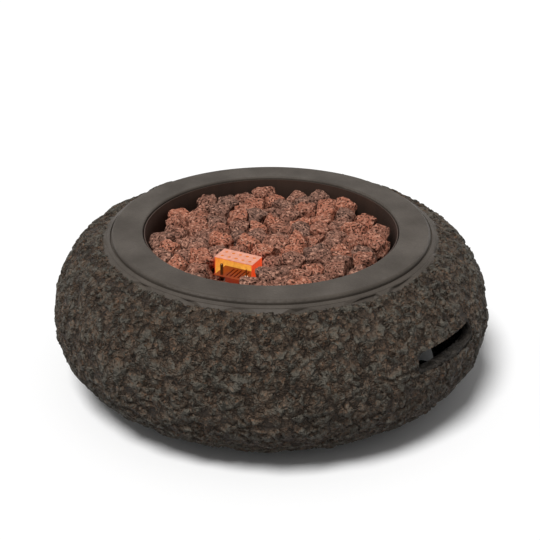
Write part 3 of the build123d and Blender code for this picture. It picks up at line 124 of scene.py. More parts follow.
class FirePitSizes(bpy.types.PropertyGroup):
    """Sizes of the dressed surfaces, in metres."""

    body_radius: length("Body radius", "Widest radius of the cast body", 345.0)
    widest_level: length("Widest level", "Height of the widest ring above the ground", 118.0)
    bottom_level: length("Bottom level", "Height of the bottom edge above the ground", 18.0)
    shoulder_level: length("Shoulder level", "Height where the body's curve meets the collar", 238.0)
    collar_level: length("Collar level", "Height of the rough face's upper edge on the collar", 241.0)
    upper_reach: length("Upper reach", "How far the upper curve runs in from the widest ring", 108.0)
    lower_reach: length("Lower reach", "How far the lower curve runs in from the widest ring", 100.0)
    shoulder_radius: length("Shoulder radius", "Radius where the body's curve meets the collar", 264.0)
    collar_radius: length("Collar radius", "Radius of the rough face's upper edge on the collar", 258.4)
    bottom_radius: length("Bottom radius", "Radius of the bottom edge", 272.0)
    lower_rows: count("Lower rows", "Rows of faces below the widest ring", 54)
    upper_rows: count("Upper rows", "Rows of faces above the widest ring", 60)
    collar_rows: count("Collar rows", "Rows of faces on the collar", 3)
    columns: count("Columns", "Faces round the rough face", 760)
    crust: length("Crust", "Height of the rough face's crust over the cast body", 3.0)
    least_crust: length("Least crust", "Least height of the rough face over the cast body", 0.3)
    chip_width: length("Chip width", "Width of the tilted chips in the crust", 13.0)
    flake_width: length("Flake width", "Width of the small flakes on the chips", 5.5)
    chip_slope: number("Chip slope", "How far the chips tilt", 0.9)
    crack_width: length("Crack width", "Half the width of the cracks along the chips' edges", 1.3)
    crack_depth: length("Crack depth", "Depth of the cracks along the chips' edges", 2.6)
    scoop_width: length("Scoop width", "Width of the scoops in the crust", 20.0)
    scoop_depth: length("Scoop depth", "Depth of the scoops", 3.2)
    pock_width: length("Pock width", "Width of the small pocks", 7.0)
    pock_depth: length("Pock depth", "Depth of the small pocks", 1.6)
    grit_width: length("Grit width", "Width of the grit on the crust", 4.5)
    grit_height: length("Grit height", "Height of the grit on the crust", 3.0)
    peak: length("Peak", "How far the worn chips stand over the crust", 1.2)
    peak_wear: length("Peak wear", "How softly the highest chips are worn off", 1.0)
    grain_width: length("Grain width", "Width of the sandy grain", 3.2)
    grain_height: length("Grain height", "Height of the sandy grain", 2.0)
    stain_width: length("Stain width", "Width of the brown stains", 22.0)
    stain_lift: length("Stain lift", "How far up the chips the stains reach", 8.0)
    # Painted shade: the depths under the crust over which the rough face's colour darkens to the crevice
    # colour.
    painted_shade_from: length("Dirt from", "Depth under the crust at which the dirt begins", 1.8)
    painted_shade_full: length("Dirt full", "Depth under the crust at which the dirt is thickest", 5.0)
    stray_width: length("Stray width", "Width of the waves in the outlines of the scoops", 14.0)
    stray: length("Stray", "How far the outlines of the scoops wander", 16.0)
    hand_hold_width: length("Hand hold width", "Width of a hand hold", 138.0)
    hand_hold_height: length("Hand hold height", "Height of a hand hold", 25.0)
    hand_hold_level: length("Hand hold level", "Height of a hand hold's middle above the ground", 154.5)
    window_width: length("Window width", "Width of the control window", 146.0)
    window_height: length("Window height", "Height of the control window", 60.0)
    window_level: length("Window level", "Height of the control window's middle above the ground", 112.0)
    edge_border: length("Edge border", "Width over which the rough face dies away at an opening", 2.0)
    collar_border: length("Collar border", "Width over which the rough face dies away at the collar", 8.0)
    opening_margin: length("Opening margin", "Least distance from the rough face to an opening", 0.2)
    edge_start: length("Edge start", "Distance from an opening at which the rough face begins to rise", 0.6)
    wrap_reach: length("Wrap reach", "How far the spun face looks for the hewn facets", 15.0)
    tuck: length("Tuck", "How deep the rough face's edges dip under the cast surface", 1.5)
    rock_lump: length("Rock lump", "Width of the lumps on a lava rock", 13.0)
    lump_height: length("Lump height", "Height of the lumps on a lava rock", 7.0)
    rock_crag: length("Rock crag", "Width of the crags between the lumps", 5.0)
    crag_height: length("Crag height", "Height of the crags between the lumps", 2.2)
    rock_pore: length("Rock pore", "Width of the open bubbles in a lava rock", 3.2)
    pore_depth: length("Pore depth", "Depth of the open bubbles in a lava rock", 0.8)
    rock_wear: length("Rock wear", "How much is worn off a lava rock before it is lumped", 4.9)
    top_layer: length("Top layer", "Height above which a rock belongs to the top of the heap", 206.0)


class FirePitColours(bpy.types.PropertyGroup):
    """Colours of the finishes."""

    crust: colour("Crust", "Grey crust of the rough cast face", "#5a554c")
    rust: colour("Rust", "Iron-brown floor of the scoops", "#5f4f41")
    fleck: colour("Fleck", "Orange flecks in the scoops", "#75543d")
    # Painted shade for the deepest places and cracks of the rough face and the pits of the raw stone.
    crevice_shade: colour("Crevice", "Dirt in the deepest places", "#1b1713")
    raw: colour("Raw stone", "Cast stone as it leaves the mould", "#38332e")
    trowelled: colour("Trowelled stone", "Smooth rim and collar", "#4e4740")
    trowelled_dark: colour("Trowelled stone, dark", "Cloudy patches on the rim", "#403a34")
    lava_red: colour("Lava red", "Iron-red lava rock", "#a2654f")
    lava_grey: colour("Lava grey", "Grey-brown lava rock", "#856558")
    # Painted highlight on the lava rock's high ridges.
    lava_ridge_highlight: colour("Lava pale", "Worn ridges of the lava rock", "#d8a48c")
    # Painted shade in the lava rock's bubbles and low crags.
    lava_pore_shade: colour("Lava dark", "Inside of the bubbles", "#20130e")
    pan: colour("Pan steel", "Heat-browned pan", "#4a352a")
    pan_dark: colour("Pan soot", "Sooty streaks on the pan", "#2b201a")
    glow_top: colour("Glow, top", "Heat of the guard's top plate", "#e59a80")
    glow_wall: colour("Glow, walls", "Heat of the guard's walls", "#e9481b")
    glow_inside: colour("Glow, inside", "Heat of the guard's inside", "#f7ae45")
    zinc: colour("Zinc", "Zinc-plated steel", "#a5a5a1")
    zinc_dull: colour("Dull zinc", "Zinc plate near the fire", "#5d5955")
    stainless: colour("Stainless", "Stainless steel", "#b3aea6")
    straw: colour("Straw", "Heat tint on stainless steel", "#8a6a48")
    brass: colour("Brass", "Machined brass", "#b18e4d")
    brass_dull: colour("Dull brass", "Tarnish on brass", "#7d6233")
    aluminium: colour("Aluminium", "Drawn aluminium tube", "#b4b5b6")
    casting: colour("Casting", "Die-cast valve body", "#8d8e8e")
    copper: colour("Copper", "Copper capillary", "#a9643f")
    ceramic: colour("Ceramic", "Unglazed electrode ceramic", "#ddd6c6")
    silicone: colour("Silicone", "Red silicone sleeve", "#6d1f18")
    coat: colour("Powder coat", "Black control panel", "#1c1b1a")
    plastic: colour("Plastic", "Black knob and igniter", "#171717")
    pointer: colour("Pointer", "White line on the knob", "#e9e7e2")
    rubber: colour("Rubber", "Black feet", "#121211")
    cell: colour("Cell", "Wrapper of the battery", "#5c6064")


class FirePitView(bpy.types.PropertyGroup):
    """Where the camera and the light stand."""

    turn: angle("Turn", "Camera's angle round the pit, from the -Y side towards +X", 39.2)
    rise: angle("Rise", "Camera's angle above the floor", 27.8)
    distance: length("Distance", "Camera to the pit's middle", 2200.0)
    focal: number("Focal length", "Focal length in image pixels", 1365.7)
    middle: length("Middle", "Height of the pit's middle above the ground", 121.0)
    pixel_x: number("Pixel right", "Middle's place right of the image centre", 1.0)
    pixel_y: number("Pixel down", "Middle's place below the image centre", 29.15)
    sky: number("Sky", "Strength of the even light from all round", 0.26)
    floor_bounce: number("Floor bounce", "Share of its light the floor throws back", 0.2)
    lamp: number("Lamp", "Strength of the overhead lamp", 2.9)
    lamp_spread: angle("Lamp spread", "Angle over which the overhead lamp is spread", 22.0)


def wire(node, inputs):
    """Sets a node's inputs to values, or links them to sockets or to other nodes' first outputs.

    A colour of three numbers gets an alpha of 1.
    """
    for key, value in inputs.items():
        socket = node.inputs[key]
        if isinstance(value, bpy.types.Node):
            value = next(output for output in value.outputs if output.enabled)
        if isinstance(value, bpy.types.NodeSocket):
            node.id_data.links.new(value, socket)
        elif socket.type == "RGBA" and len(value) == 3:
            socket.default_value = (*value, 1.0)
        else:
            socket.default_value = value


def add_node(tree, kind, inputs=None, operation=None, **settings):
    """Adds a node with its settings and wires its inputs. A kind that names no family is a shader node."""
    node = tree.nodes.new(kind if kind.startswith(OTHER_FAMILIES) else "ShaderNode" + kind)
    if operation:
        node.operation = operation
    for key, value in settings.items():
        setattr(node, key, value)
    wire(node, inputs or {})
    return node


def material(name):
    """A new node material: add_node for its own tree, its shader and the piece's own coordinates."""
    made = bpy.data.materials.new(name)
    made.use_nodes = True
    made.node_tree.nodes.clear()
    add = partial(add_node, made.node_tree)
    shader = add("BsdfPrincipled")
    add("OutputMaterial", {"Surface": shader})
    place = add("TexCoord").outputs["Object"]
    return made, add, shader, place


def deselect():
    if bpy.context.mode != "OBJECT":
        bpy.ops.object.mode_set(mode="OBJECT")
    bpy.ops.object.select_all(action="DESELECT")


def activate(piece):
    deselect()
    piece.select_set(True)
    bpy.context.view_layer.objects.active = piece


def paint(piece, finish):
    piece.data.materials.clear()
    piece.data.materials.append(finish)


def paint_nodes(finish, *names):
    for name in names:
        paint(frame["nodes"][name], finish)


def apply_modifier(piece, kind, **settings):
    activate(piece)
    modifier = piece.modifiers.new(kind.lower(), kind)
    for key, value in settings.items():
        setattr(modifier, key, value)
    bpy.ops.object.modifier_apply(modifier=modifier.name)


def cad_copy(node, name):
    """A free copy of a CAD node, with its loose triangles merged into one skin."""
    cad = frame["nodes"][node]
    copied = cad.copy()
    copied.data = cad.data.copy()
    copied.name = name
    for key in list(copied.keys()):
        del copied[key]
    copied.parent = None
    bpy.context.scene.collection.objects.link(copied)
    activate(copied)
    bpy.ops.object.mode_set(mode="EDIT")
    bpy.ops.mesh.select_all(action="SELECT")
    bpy.ops.mesh.remove_doubles(threshold=CAD_MERGE)
    bpy.ops.object.mode_set(mode="OBJECT")
    return copied


def shape_by_nodes(piece, name, build):
    """Moves the piece's surface along its normals by a height that a node tree works out."""
    tree = bpy.data.node_groups.new(name, "GeometryNodeTree")
    tree.interface.new_socket("Geometry", in_out="INPUT", socket_type="NodeSocketGeometry")
    tree.interface.new_socket("Geometry", in_out="OUTPUT", socket_type="NodeSocketGeometry")
    add = partial(add_node, tree)
    start = add("NodeGroupInput")
    place = add("GeometryNodeInputPosition")
    kept = add(
        "GeometryNodeStoreNamedAttribute",
        {"Geometry": start, "Name": "rest_place", "Value": place},
        data_type="FLOAT_VECTOR",
        domain="POINT",
    )
    kept, height = build(add, kept, place)
    outward = add("GeometryNodeInputNormal")
    offset = add("VectorMath", {0: outward, "Scale": height}, "SCALE")
    moved = add("GeometryNodeSetPosition", {"Geometry": kept, "Offset": offset})
    add("NodeGroupOutput", {0: moved})
    apply_modifier(piece, "NODES", node_group=tree)


class FIREPIT_OT_stage(bpy.types.Operator):
    """Sets the floor, the soft light and the camera"""

    bl_idname = "firepit.stage"
    bl_label = "Stage"

    def execute(self, context):
        context.scene.view_settings.view_transform = "Standard"
        view = context.scene.fire_pit_view
        self.floor(view)
        self.light(view)
        self.camera(view)
        return {"FINISHED"}

    def seen_ray(self, add):
        """1 for the rays that show the background, and 0 for those that only carry its light to the pit."""
        rays = add("LightPath").outputs
        seen = add("Math", {0: rays["Is Camera Ray"], 1: rays["Is Glossy Ray"]}, "MAXIMUM")
        return add("Math", {0: seen, 1: rays["Is Transmission Ray"]}, "MAXIMUM")

    def floor(self, view):
        deselect()
        bpy.ops.mesh.primitive_plane_add(size=FLOOR_SIZE, location=(0.0, 0.0, 0.0))
        floor = bpy.context.active_object
        floor.name = "floor"
        # Matt white board: an even white with no gloss, so only the soft shadow shows on it. It throws less
        # light back than it shows, as a board of that white in a large dim room would.
        board, add, shader, _ = material("matt_white_board")
        level = add("MapRange", {"Value": self.seen_ray(add), "To Min": view.floor_bounce, "To Max": 1.0})
        base = add("VectorMath", {0: linear("#fdfdfd"), "Scale": level}, "SCALE")
        wire(shader, {"Base Color": base, "Roughness": 0.9, "Specular IOR Level": 0.0})
        paint(floor, board)

    def light(self, view):
        world = bpy.data.worlds.new("white_room")
        world.use_nodes = True
        world.node_tree.nodes.clear()
        add = partial(add_node, world.node_tree)
        level = add("MapRange", {"Value": self.seen_ray(add), "To Min": view.sky, "To Max": 1.0})
        sky = add("Background", {"Color": (1.0, 1.0, 1.0, 1.0), "Strength": level})
        add("OutputWorld", {"Surface": sky})
        bpy.context.scene.world = world
        deselect()
        bpy.ops.object.light_add(type="SUN", location=(0.0, 0.0, 3.0))
        lamp = bpy.context.active_object
        lamp.name = "soft_overhead_lamp"
        lamp.data.energy = view.lamp
        lamp.data.angle = view.lamp_spread
        lamp.rotation_euler = LAMP_SIDE.to_track_quat("Z", "Y").to_euler()

    def camera(self, view):
        flat = math.cos(view.rise)
        back = Vector((math.sin(view.turn) * flat, -math.cos(view.turn) * flat, math.sin(view.rise)))
        right = Vector((math.cos(view.turn), math.sin(view.turn), 0.0))
        up = back.cross(right)
        middle = Vector((0.0, 0.0, view.middle))
        place = middle + back * view.distance
        aim = middle + (up * view.pixel_y - right * view.pixel_x) * view.distance / view.focal
        deselect()
        bpy.ops.object.camera_add(location=place)
        camera = bpy.context.active_object
        camera.name = "camera"
        camera.rotation_euler = (aim - place).to_track_quat("-Z", "Y").to_euler()
        camera.data.sensor_width = SENSOR_WIDTH
        camera.data.lens = view.focal / IMAGE_WIDTH * SENSOR_WIDTH
        camera.data.clip_start, camera.data.clip_end = CLIP
        bpy.context.scene.camera = camera


def rough_field(add, place, sizes):
    """Height of the rough cast face over the body, in metres: tilted chips, scoops, pocks and grit.

    The second result is 1 in the cracks along some of the chips' edges and 0 away from them. The third is a
    number from 0 to 2, the same all over a chip's own face, which paints each chip a lighter or darker
    shade in place of the light its tilt would catch.
    """
    waves = add("TexNoise", {"Vector": place, "Scale": 1 / sizes.stray_width, "Detail": 3.0}).outputs
    wander = add("VectorMath", {0: waves["Color"], 1: HALF}, "SUBTRACT")
    wander = add("VectorMath", {0: wander, "Scale": sizes.stray}, "SCALE")
    place = add("VectorMath", {0: place, 1: wander}, "ADD")
    grit = add("TexNoise", {"Vector": place, "Scale": 1 / sizes.grit_width, "Detail": 3.0})
    floor = sizes.crust - sizes.grit_height / 2
    height = add("Math", {0: grit, 1: sizes.grit_height, 2: floor}, "MULTIPLY_ADD")
    facet_shade = 0.0
    for width in (sizes.chip_width, sizes.flake_width):
        chip = add("TexVoronoi", {"Vector": place, "Scale": 1 / width}).outputs
        across = add("VectorMath", {0: place, 1: chip["Position"]}, "SUBTRACT")
        tilt = add("VectorMath", {0: chip["Color"], 1: HALF}, "SUBTRACT")
        tilt = add("VectorMath", {0: across, 1: tilt}, "DOT_PRODUCT").outputs["Value"]
        height = add("Math", {0: tilt, 1: sizes.chip_slope, 2: height}, "MULTIPLY_ADD")
        share = add("SeparateXYZ", {0: chip["Color"]})
        facet_shade = add("Math", {0: share, 1: facet_shade}, "ADD")
    for width, depth in ((sizes.scoop_width, sizes.scoop_depth), (sizes.pock_width, sizes.pock_depth)):
        cell = add("TexVoronoi", {"Vector": place, "Scale": 1 / width}).outputs
        share = add("SeparateXYZ", {0: cell["Color"]})
        share = add("MapRange", {"Value": share, "From Min": 0.15, "From Max": 0.8})
        bowl = add("Math", {0: cell["Distance"], 1: 1 / BOWL_REACH}, "MULTIPLY")
        bowl = add("Math", {0: bowl, 1: BOWL_POWER}, "POWER")
        bowl = add("Math", {0: 1.0, 1: bowl}, "SUBTRACT", use_clamp=True)
        bowl = add("Math", {0: bowl, 1: share}, "MULTIPLY")
        height = add("Math", {0: bowl, 1: -depth, 2: height}, "MULTIPLY_ADD")
    crack = 0.0
    for width, open_from in ((sizes.chip_width, 0.40), (sizes.pock_width, 0.48)):
        edge = add("TexVoronoi", {"Vector": place, "Scale": 1 / width}, feature="DISTANCE_TO_EDGE")
        line = add(
            "MapRange", {"Value": edge, "From Max": sizes.crack_width / width, "To Min": 1.0, "To Max": 0.0}
        )
        shown = add("MapRange", {"Value": waves["Fac"], "From Min": open_from, "From Max": open_from + 0.1})
        line = add("Math", {0: line, 1: shown}, "MULTIPLY")
        crack = add("Math", {0: line, 1: crack}, "MAXIMUM")
    return height, crack, facet_shade


class FIREPIT_OT_stone(bpy.types.Operator):
    """Spins the rough cast face over the body and finishes the smooth rim"""

    bl_idname = "firepit.stone"
    bl_label = "Stone body"

    def execute(self, context):
        sizes = context.scene.fire_pit_sizes
        shades = context.scene.fire_pit_colours
        face = self.spun_face(sizes)
        self.open_windows(face, sizes)
        # The face takes on the body's hewn facets, with their edges worn round.
        apply_modifier(
            face,
            "SHRINKWRAP",
            target=frame["nodes"]["stone_body"],
            wrap_method="PROJECT",
            use_positive_direction=True,
            use_negative_direction=True,
            project_limit=sizes.wrap_reach,
        )
        apply_modifier(face, "SMOOTH", factor=0.5, iterations=6)
        self.mark_edges(face, sizes)

        def relief(add, geometry, place):
            height, *_ = rough_field(add, place, sizes)
            worn = {0: height, 1: sizes.crust + sizes.peak, 2: sizes.peak_wear}
            height = add("Math", worn, "SMOOTH_MIN")
            height = add("Math", {0: height, 1: sizes.least_crust}, "MAXIMUM")
            rough = add("GeometryNodeInputNamedAttribute", {"Name": "rough"}, data_type="FLOAT")
            height = add("Math", {0: height, 1: sizes.tuck}, "ADD")
            return geometry, add("Math", {0: height, 1: rough, 2: -sizes.tuck}, "MULTIPLY_ADD")

        shape_by_nodes(face, "rough_relief", relief)
        activate(face)
        bpy.ops.object.shade_smooth()
        paint(face, self.rough_cast(sizes, shades))
        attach(face, "frame")
        paint_nodes(self.plain_cast(sizes, shades), "stone_body")
        return {"FINISHED"}

    def section(self, sizes):
        """Radius and height of points up the outside, from the bottom edge to the collar."""
        points = []
        lower = sizes.body_radius - sizes.lower_reach
        upper = sizes.body_radius - sizes.upper_reach
        low = math.acos((sizes.bottom_radius - lower) / sizes.lower_reach)
        high = math.acos((sizes.shoulder_radius - upper) / sizes.upper_reach)
        drop = (sizes.widest_level - sizes.bottom_level) / math.sin(low)
        rise = (sizes.shoulder_level - sizes.widest_level) / math.sin(high)
        for k in range(sizes.lower_rows):
            turn = low * (1 - k / sizes.lower_rows)
            radius = lower + sizes.lower_reach * math.cos(turn)
            points.append((radius, sizes.widest_level - drop * math.sin(turn)))
        for k in range(sizes.upper_rows):
            turn = high * k / sizes.upper_rows
            radius = upper + sizes.upper_reach * math.cos(turn)
            points.append((radius, sizes.widest_level + rise * math.sin(turn)))
        for k in range(sizes.collar_rows + 1):
            share = k / sizes.collar_rows
            radius = sizes.shoulder_radius + share * (sizes.collar_radius - sizes.shoulder_radius)
            level = sizes.shoulder_level + share * (sizes.collar_level - sizes.shoulder_level)
            points.append((radius, level))
        return points

    def spun_face(self, sizes):
        points = [Vector((radius, 0.0, level)) for radius, level in self.section(sizes)]
        deselect()
        bpy.ops.mesh.primitive_plane_add(size=0.01, location=(0.0, 0.0, 0.0))
        face = bpy.context.active_object
        face.name = "rough_cast_face"
        bpy.ops.object.mode_set(mode="EDIT")
        bpy.ops.mesh.select_all(action="SELECT")
        bpy.ops.mesh.merge(type="CENTER")
        bpy.ops.transform.translate(value=points[0])
        for a, b in zip(points, points[1:]):
            bpy.ops.mesh.extrude_region_move(TRANSFORM_OT_translate={"value": b - a})
        bpy.ops.mesh.select_all(action="SELECT")
        bpy.ops.mesh.spin(steps=sizes.columns, angle=2 * math.pi, center=(0, 0, 0), axis=(0, 0, 1))
        bpy.ops.mesh.select_all(action="SELECT")
        bpy.ops.mesh.remove_doubles(threshold=SPIN_MERGE)
        bpy.ops.mesh.normals_make_consistent(inside=False)
        bpy.ops.object.mode_set(mode="OBJECT")
        return face

    def places(self, face):
        """The corners of the face, as arrays of x, y and z."""
        places = np.zeros(len(face.data.vertices) * 3)
        face.data.vertices.foreach_get("co", places)
        return places.reshape(-1, 3).T

    def window_room(self, face, sizes):
        """Distance from each corner of the face to the nearest opening."""
        x, y, z = self.places(face)
        grip = np.maximum(
            abs(y) - sizes.hand_hold_width / 2, abs(z - sizes.hand_hold_level) - sizes.hand_hold_height / 2
        )
        grip[abs(x) < sizes.body_radius / 2] = sizes.body_radius
        window = np.maximum(
            abs(x) - sizes.window_width / 2, abs(z - sizes.window_level) - sizes.window_height / 2
        )
        window[y < sizes.body_radius / 2] = sizes.body_radius
        return np.minimum(grip, window)

    def open_windows(self, face, sizes):
        """Deletes the faces that would close an opening."""
        activate(face)
        bpy.ops.object.mode_set(mode="EDIT")
        bpy.ops.mesh.select_mode(type="VERT")
        bpy.ops.mesh.select_all(action="DESELECT")
        bpy.ops.object.mode_set(mode="OBJECT")
        face.data.vertices.foreach_set("select", self.window_room(face, sizes) < sizes.opening_margin)
        bpy.ops.object.mode_set(mode="EDIT")
        bpy.ops.mesh.delete(type="VERT")
        bpy.ops.object.mode_set(mode="OBJECT")

    def mark_edges(self, face, sizes):
        """Stores how rough each corner is, from nothing at an edge to full a border's width away."""
        x, y, z = self.places(face)
        radius = np.hypot(x, y)
        collar = np.where(z > sizes.widest_level, radius - sizes.collar_radius, sizes.body_radius)
        foot = np.where(z < sizes.widest_level, radius - sizes.bottom_radius, sizes.body_radius)
        rough = np.minimum(collar / sizes.collar_border, foot / sizes.edge_border)
        rough = np.minimum(rough, (self.window_room(face, sizes) - sizes.edge_start) / sizes.edge_border)
        rough = np.clip(rough, 0.0, 1.0)
        kept = face.data.attributes.new("rough", "FLOAT", "POINT")
        kept.data.foreach_set("value", rough * rough * (3 - 2 * rough))

    def rough_cast(self, sizes, shades):
        # Cast stone from a mould of broken rock: dry and matt, with a worn grey crust, scoops whose floors
        # are iron-brown with orange flecks, a sandy grain over all, painted shade in the deepest places and
        # the cracks, and a lighter or darker painted shade on each chip.
        made, add, shader, _ = material("rough_cast_stone")
        place = add("Attribute", attribute_name="rest_place").outputs["Vector"]
        height, crack, facet_shade = rough_field(add, place, sizes)
        height = add("Math", {0: crack, 1: -sizes.crack_depth, 2: height}, "MULTIPLY_ADD")
        cloud = add("TexNoise", {"Vector": place, "Scale": 1 / sizes.stain_width, "Detail": 2.0})
        worn = add("Math", {0: cloud, 1: sizes.stain_lift, 2: height}, "MULTIPLY_ADD")
        start, full = sizes.crust + STAIN_FROM, sizes.crust + STAIN_FULL
        stain = add("MapRange", {"Value": worn, "From Min": start, "From Max": full})
        base = add("Mix", {0: stain, 6: shades.crust, 7: shades.rust}, data_type="RGBA")
        grain = add("TexNoise", {"Vector": place, "Scale": 1 / sizes.grain_width, "Detail": 3.0})
        fleck = add("MapRange", {"Value": grain, "From Min": 0.56, "From Max": 0.70})
        fleck = add("Math", {0: fleck, 1: stain}, "MULTIPLY")
        base = add("Mix", {0: fleck, 6: base, 7: shades.fleck}, data_type="RGBA")
        tone = add("MapRange", {"Value": grain, **NOISE_SPREAD, "To Min": 0.85, "To Max": 1.3})
        # Painted shade: each chip is a little lighter or darker, in place of the light its tilt would catch.
        chip = add(
            "MapRange", {"Value": facet_shade, "From Min": 0.3, "From Max": 1.7, "To Min": 0.9, "To Max": 1.15}
        )
        tone = add("Math", {0: tone, 1: chip}, "MULTIPLY")
        base = add("VectorMath", {0: base, "Scale": tone}, "SCALE")
        # Painted shade: the colour darkens to the crevice colour where the height lies deep under the crust,
        # in the scoops, pocks and cracks.
        start, full = sizes.crust - sizes.painted_shade_from, sizes.crust - sizes.painted_shade_full
        painted_shade = add("MapRange", {"Value": height, "From Min": start, "From Max": full, "To Max": 0.7})
        base = add("Mix", {0: painted_shade, 6: base, 7: shades.crevice_shade}, data_type="RGBA")
        bump = add("Math", {0: grain, 1: sizes.grain_height, 2: height}, "MULTIPLY_ADD")
        bump = add("Bump", {"Height": bump, "Distance": 2.4, "Strength": 1.0})
        wire(shader, {"Base Color": base, "Normal": bump, "Roughness": 0.62, "Specular IOR Level": 0.25})
        return made

    def plain_cast(self, sizes, shades):
        # The same cast stone, trowelled smooth and sealed on the rim, a satin grey-brown with soft cloudy
        # patches and fine sand, and left dark as it leaves the mould inside, with painted shade in its
        # deepest pits.
        made, add, shader, place = material("trowelled_cast_stone")
        cloud = add("TexNoise", {"Vector": place, "Scale": 1 / RIM_CLOUD, "Detail": 5.0})
        cloud = add("MapRange", {"Value": cloud, "From Min": 0.32, "From Max": 0.68})
        rim = add("Mix", {0: cloud, 6: shades.trowelled_dark, 7: shades.trowelled}, data_type="RGBA")
        level = add("SeparateXYZ", {0: place}).outputs["Z"]
        start, full = sizes.collar_level - RIM_FROM, sizes.collar_level - RIM_FULL
        upper = add("MapRange", {"Value": level, "From Min": start, "From Max": full})
        height, *_ = rough_field(add, place, sizes)
        # Painted shade: the raw stone darkens to the crevice colour where the rough field lies deep.
        pit = add("MapRange", {"Value": height, "From Min": sizes.crust - RAW_PIT, "From Max": sizes.crust})
        raw = add("Mix", {0: pit, 6: shades.crevice_shade, 7: shades.raw}, data_type="RGBA")
        base = add("Mix", {0: upper, 6: raw, 7: rim}, data_type="RGBA")
        sand = add("TexNoise", {"Vector": place, "Scale": 1 / RIM_SAND, "Detail": 3.0})
        tone = add("MapRange", {"Value": sand, **NOISE_SPREAD, "To Min": 0.9, "To Max": 1.1})
        base = add("VectorMath", {0: base, "Scale": tone}, "SCALE")
        rough = add("MapRange", {"Value": cloud, "To Min": 0.66, "To Max": 0.52})
        ground = add("Math", {0: 1.0, 1: upper}, "SUBTRACT")
        ground = add("Math", {0: ground, 1: height}, "MULTIPLY")
        sand = add("Math", {0: sand, 1: RIM_SAND_HEIGHT, 2: ground}, "MULTIPLY_ADD")
        bump = add("Bump", {"Height": sand, "Distance": 1.0, "Strength": 1.0})
        wire(shader, {"Base Color": base, "Roughness": rough, "Normal": bump, "Specular IOR Level": 0.2})
        return made


def rock_field(add, place, sizes):
    """Height of the crags on a lava rock, in metres, with its ridges and its open bubbles."""
    lump = add("TexNoise", {"Vector": place, "Scale": 1 / sizes.rock_lump, "Detail": 1.0})
    crag = add("TexNoise", {"Vector": place, "Scale": 1 / sizes.rock_crag, "Detail": 2.0, "Roughness": 0.6})
    pore = add("TexNoise", {"Vector": place, "Scale": 1 / sizes.rock_pore, "Detail": 1.0})
    pore = add(
        "MapRange", {"Value": pore, "From Min": 0.53, "From Max": 0.64}, interpolation_type="SMOOTHSTEP"
    )
    height = add("Math", {0: lump, 1: sizes.lump_height, 2: -sizes.rock_wear}, "MULTIPLY_ADD")
    height = add("Math", {0: crag, 1: sizes.crag_height, 2: height}, "MULTIPLY_ADD")
    height = add("Math", {0: pore, 1: -sizes.pore_depth, 2: height}, "MULTIPLY_ADD")
    return height, crag, pore


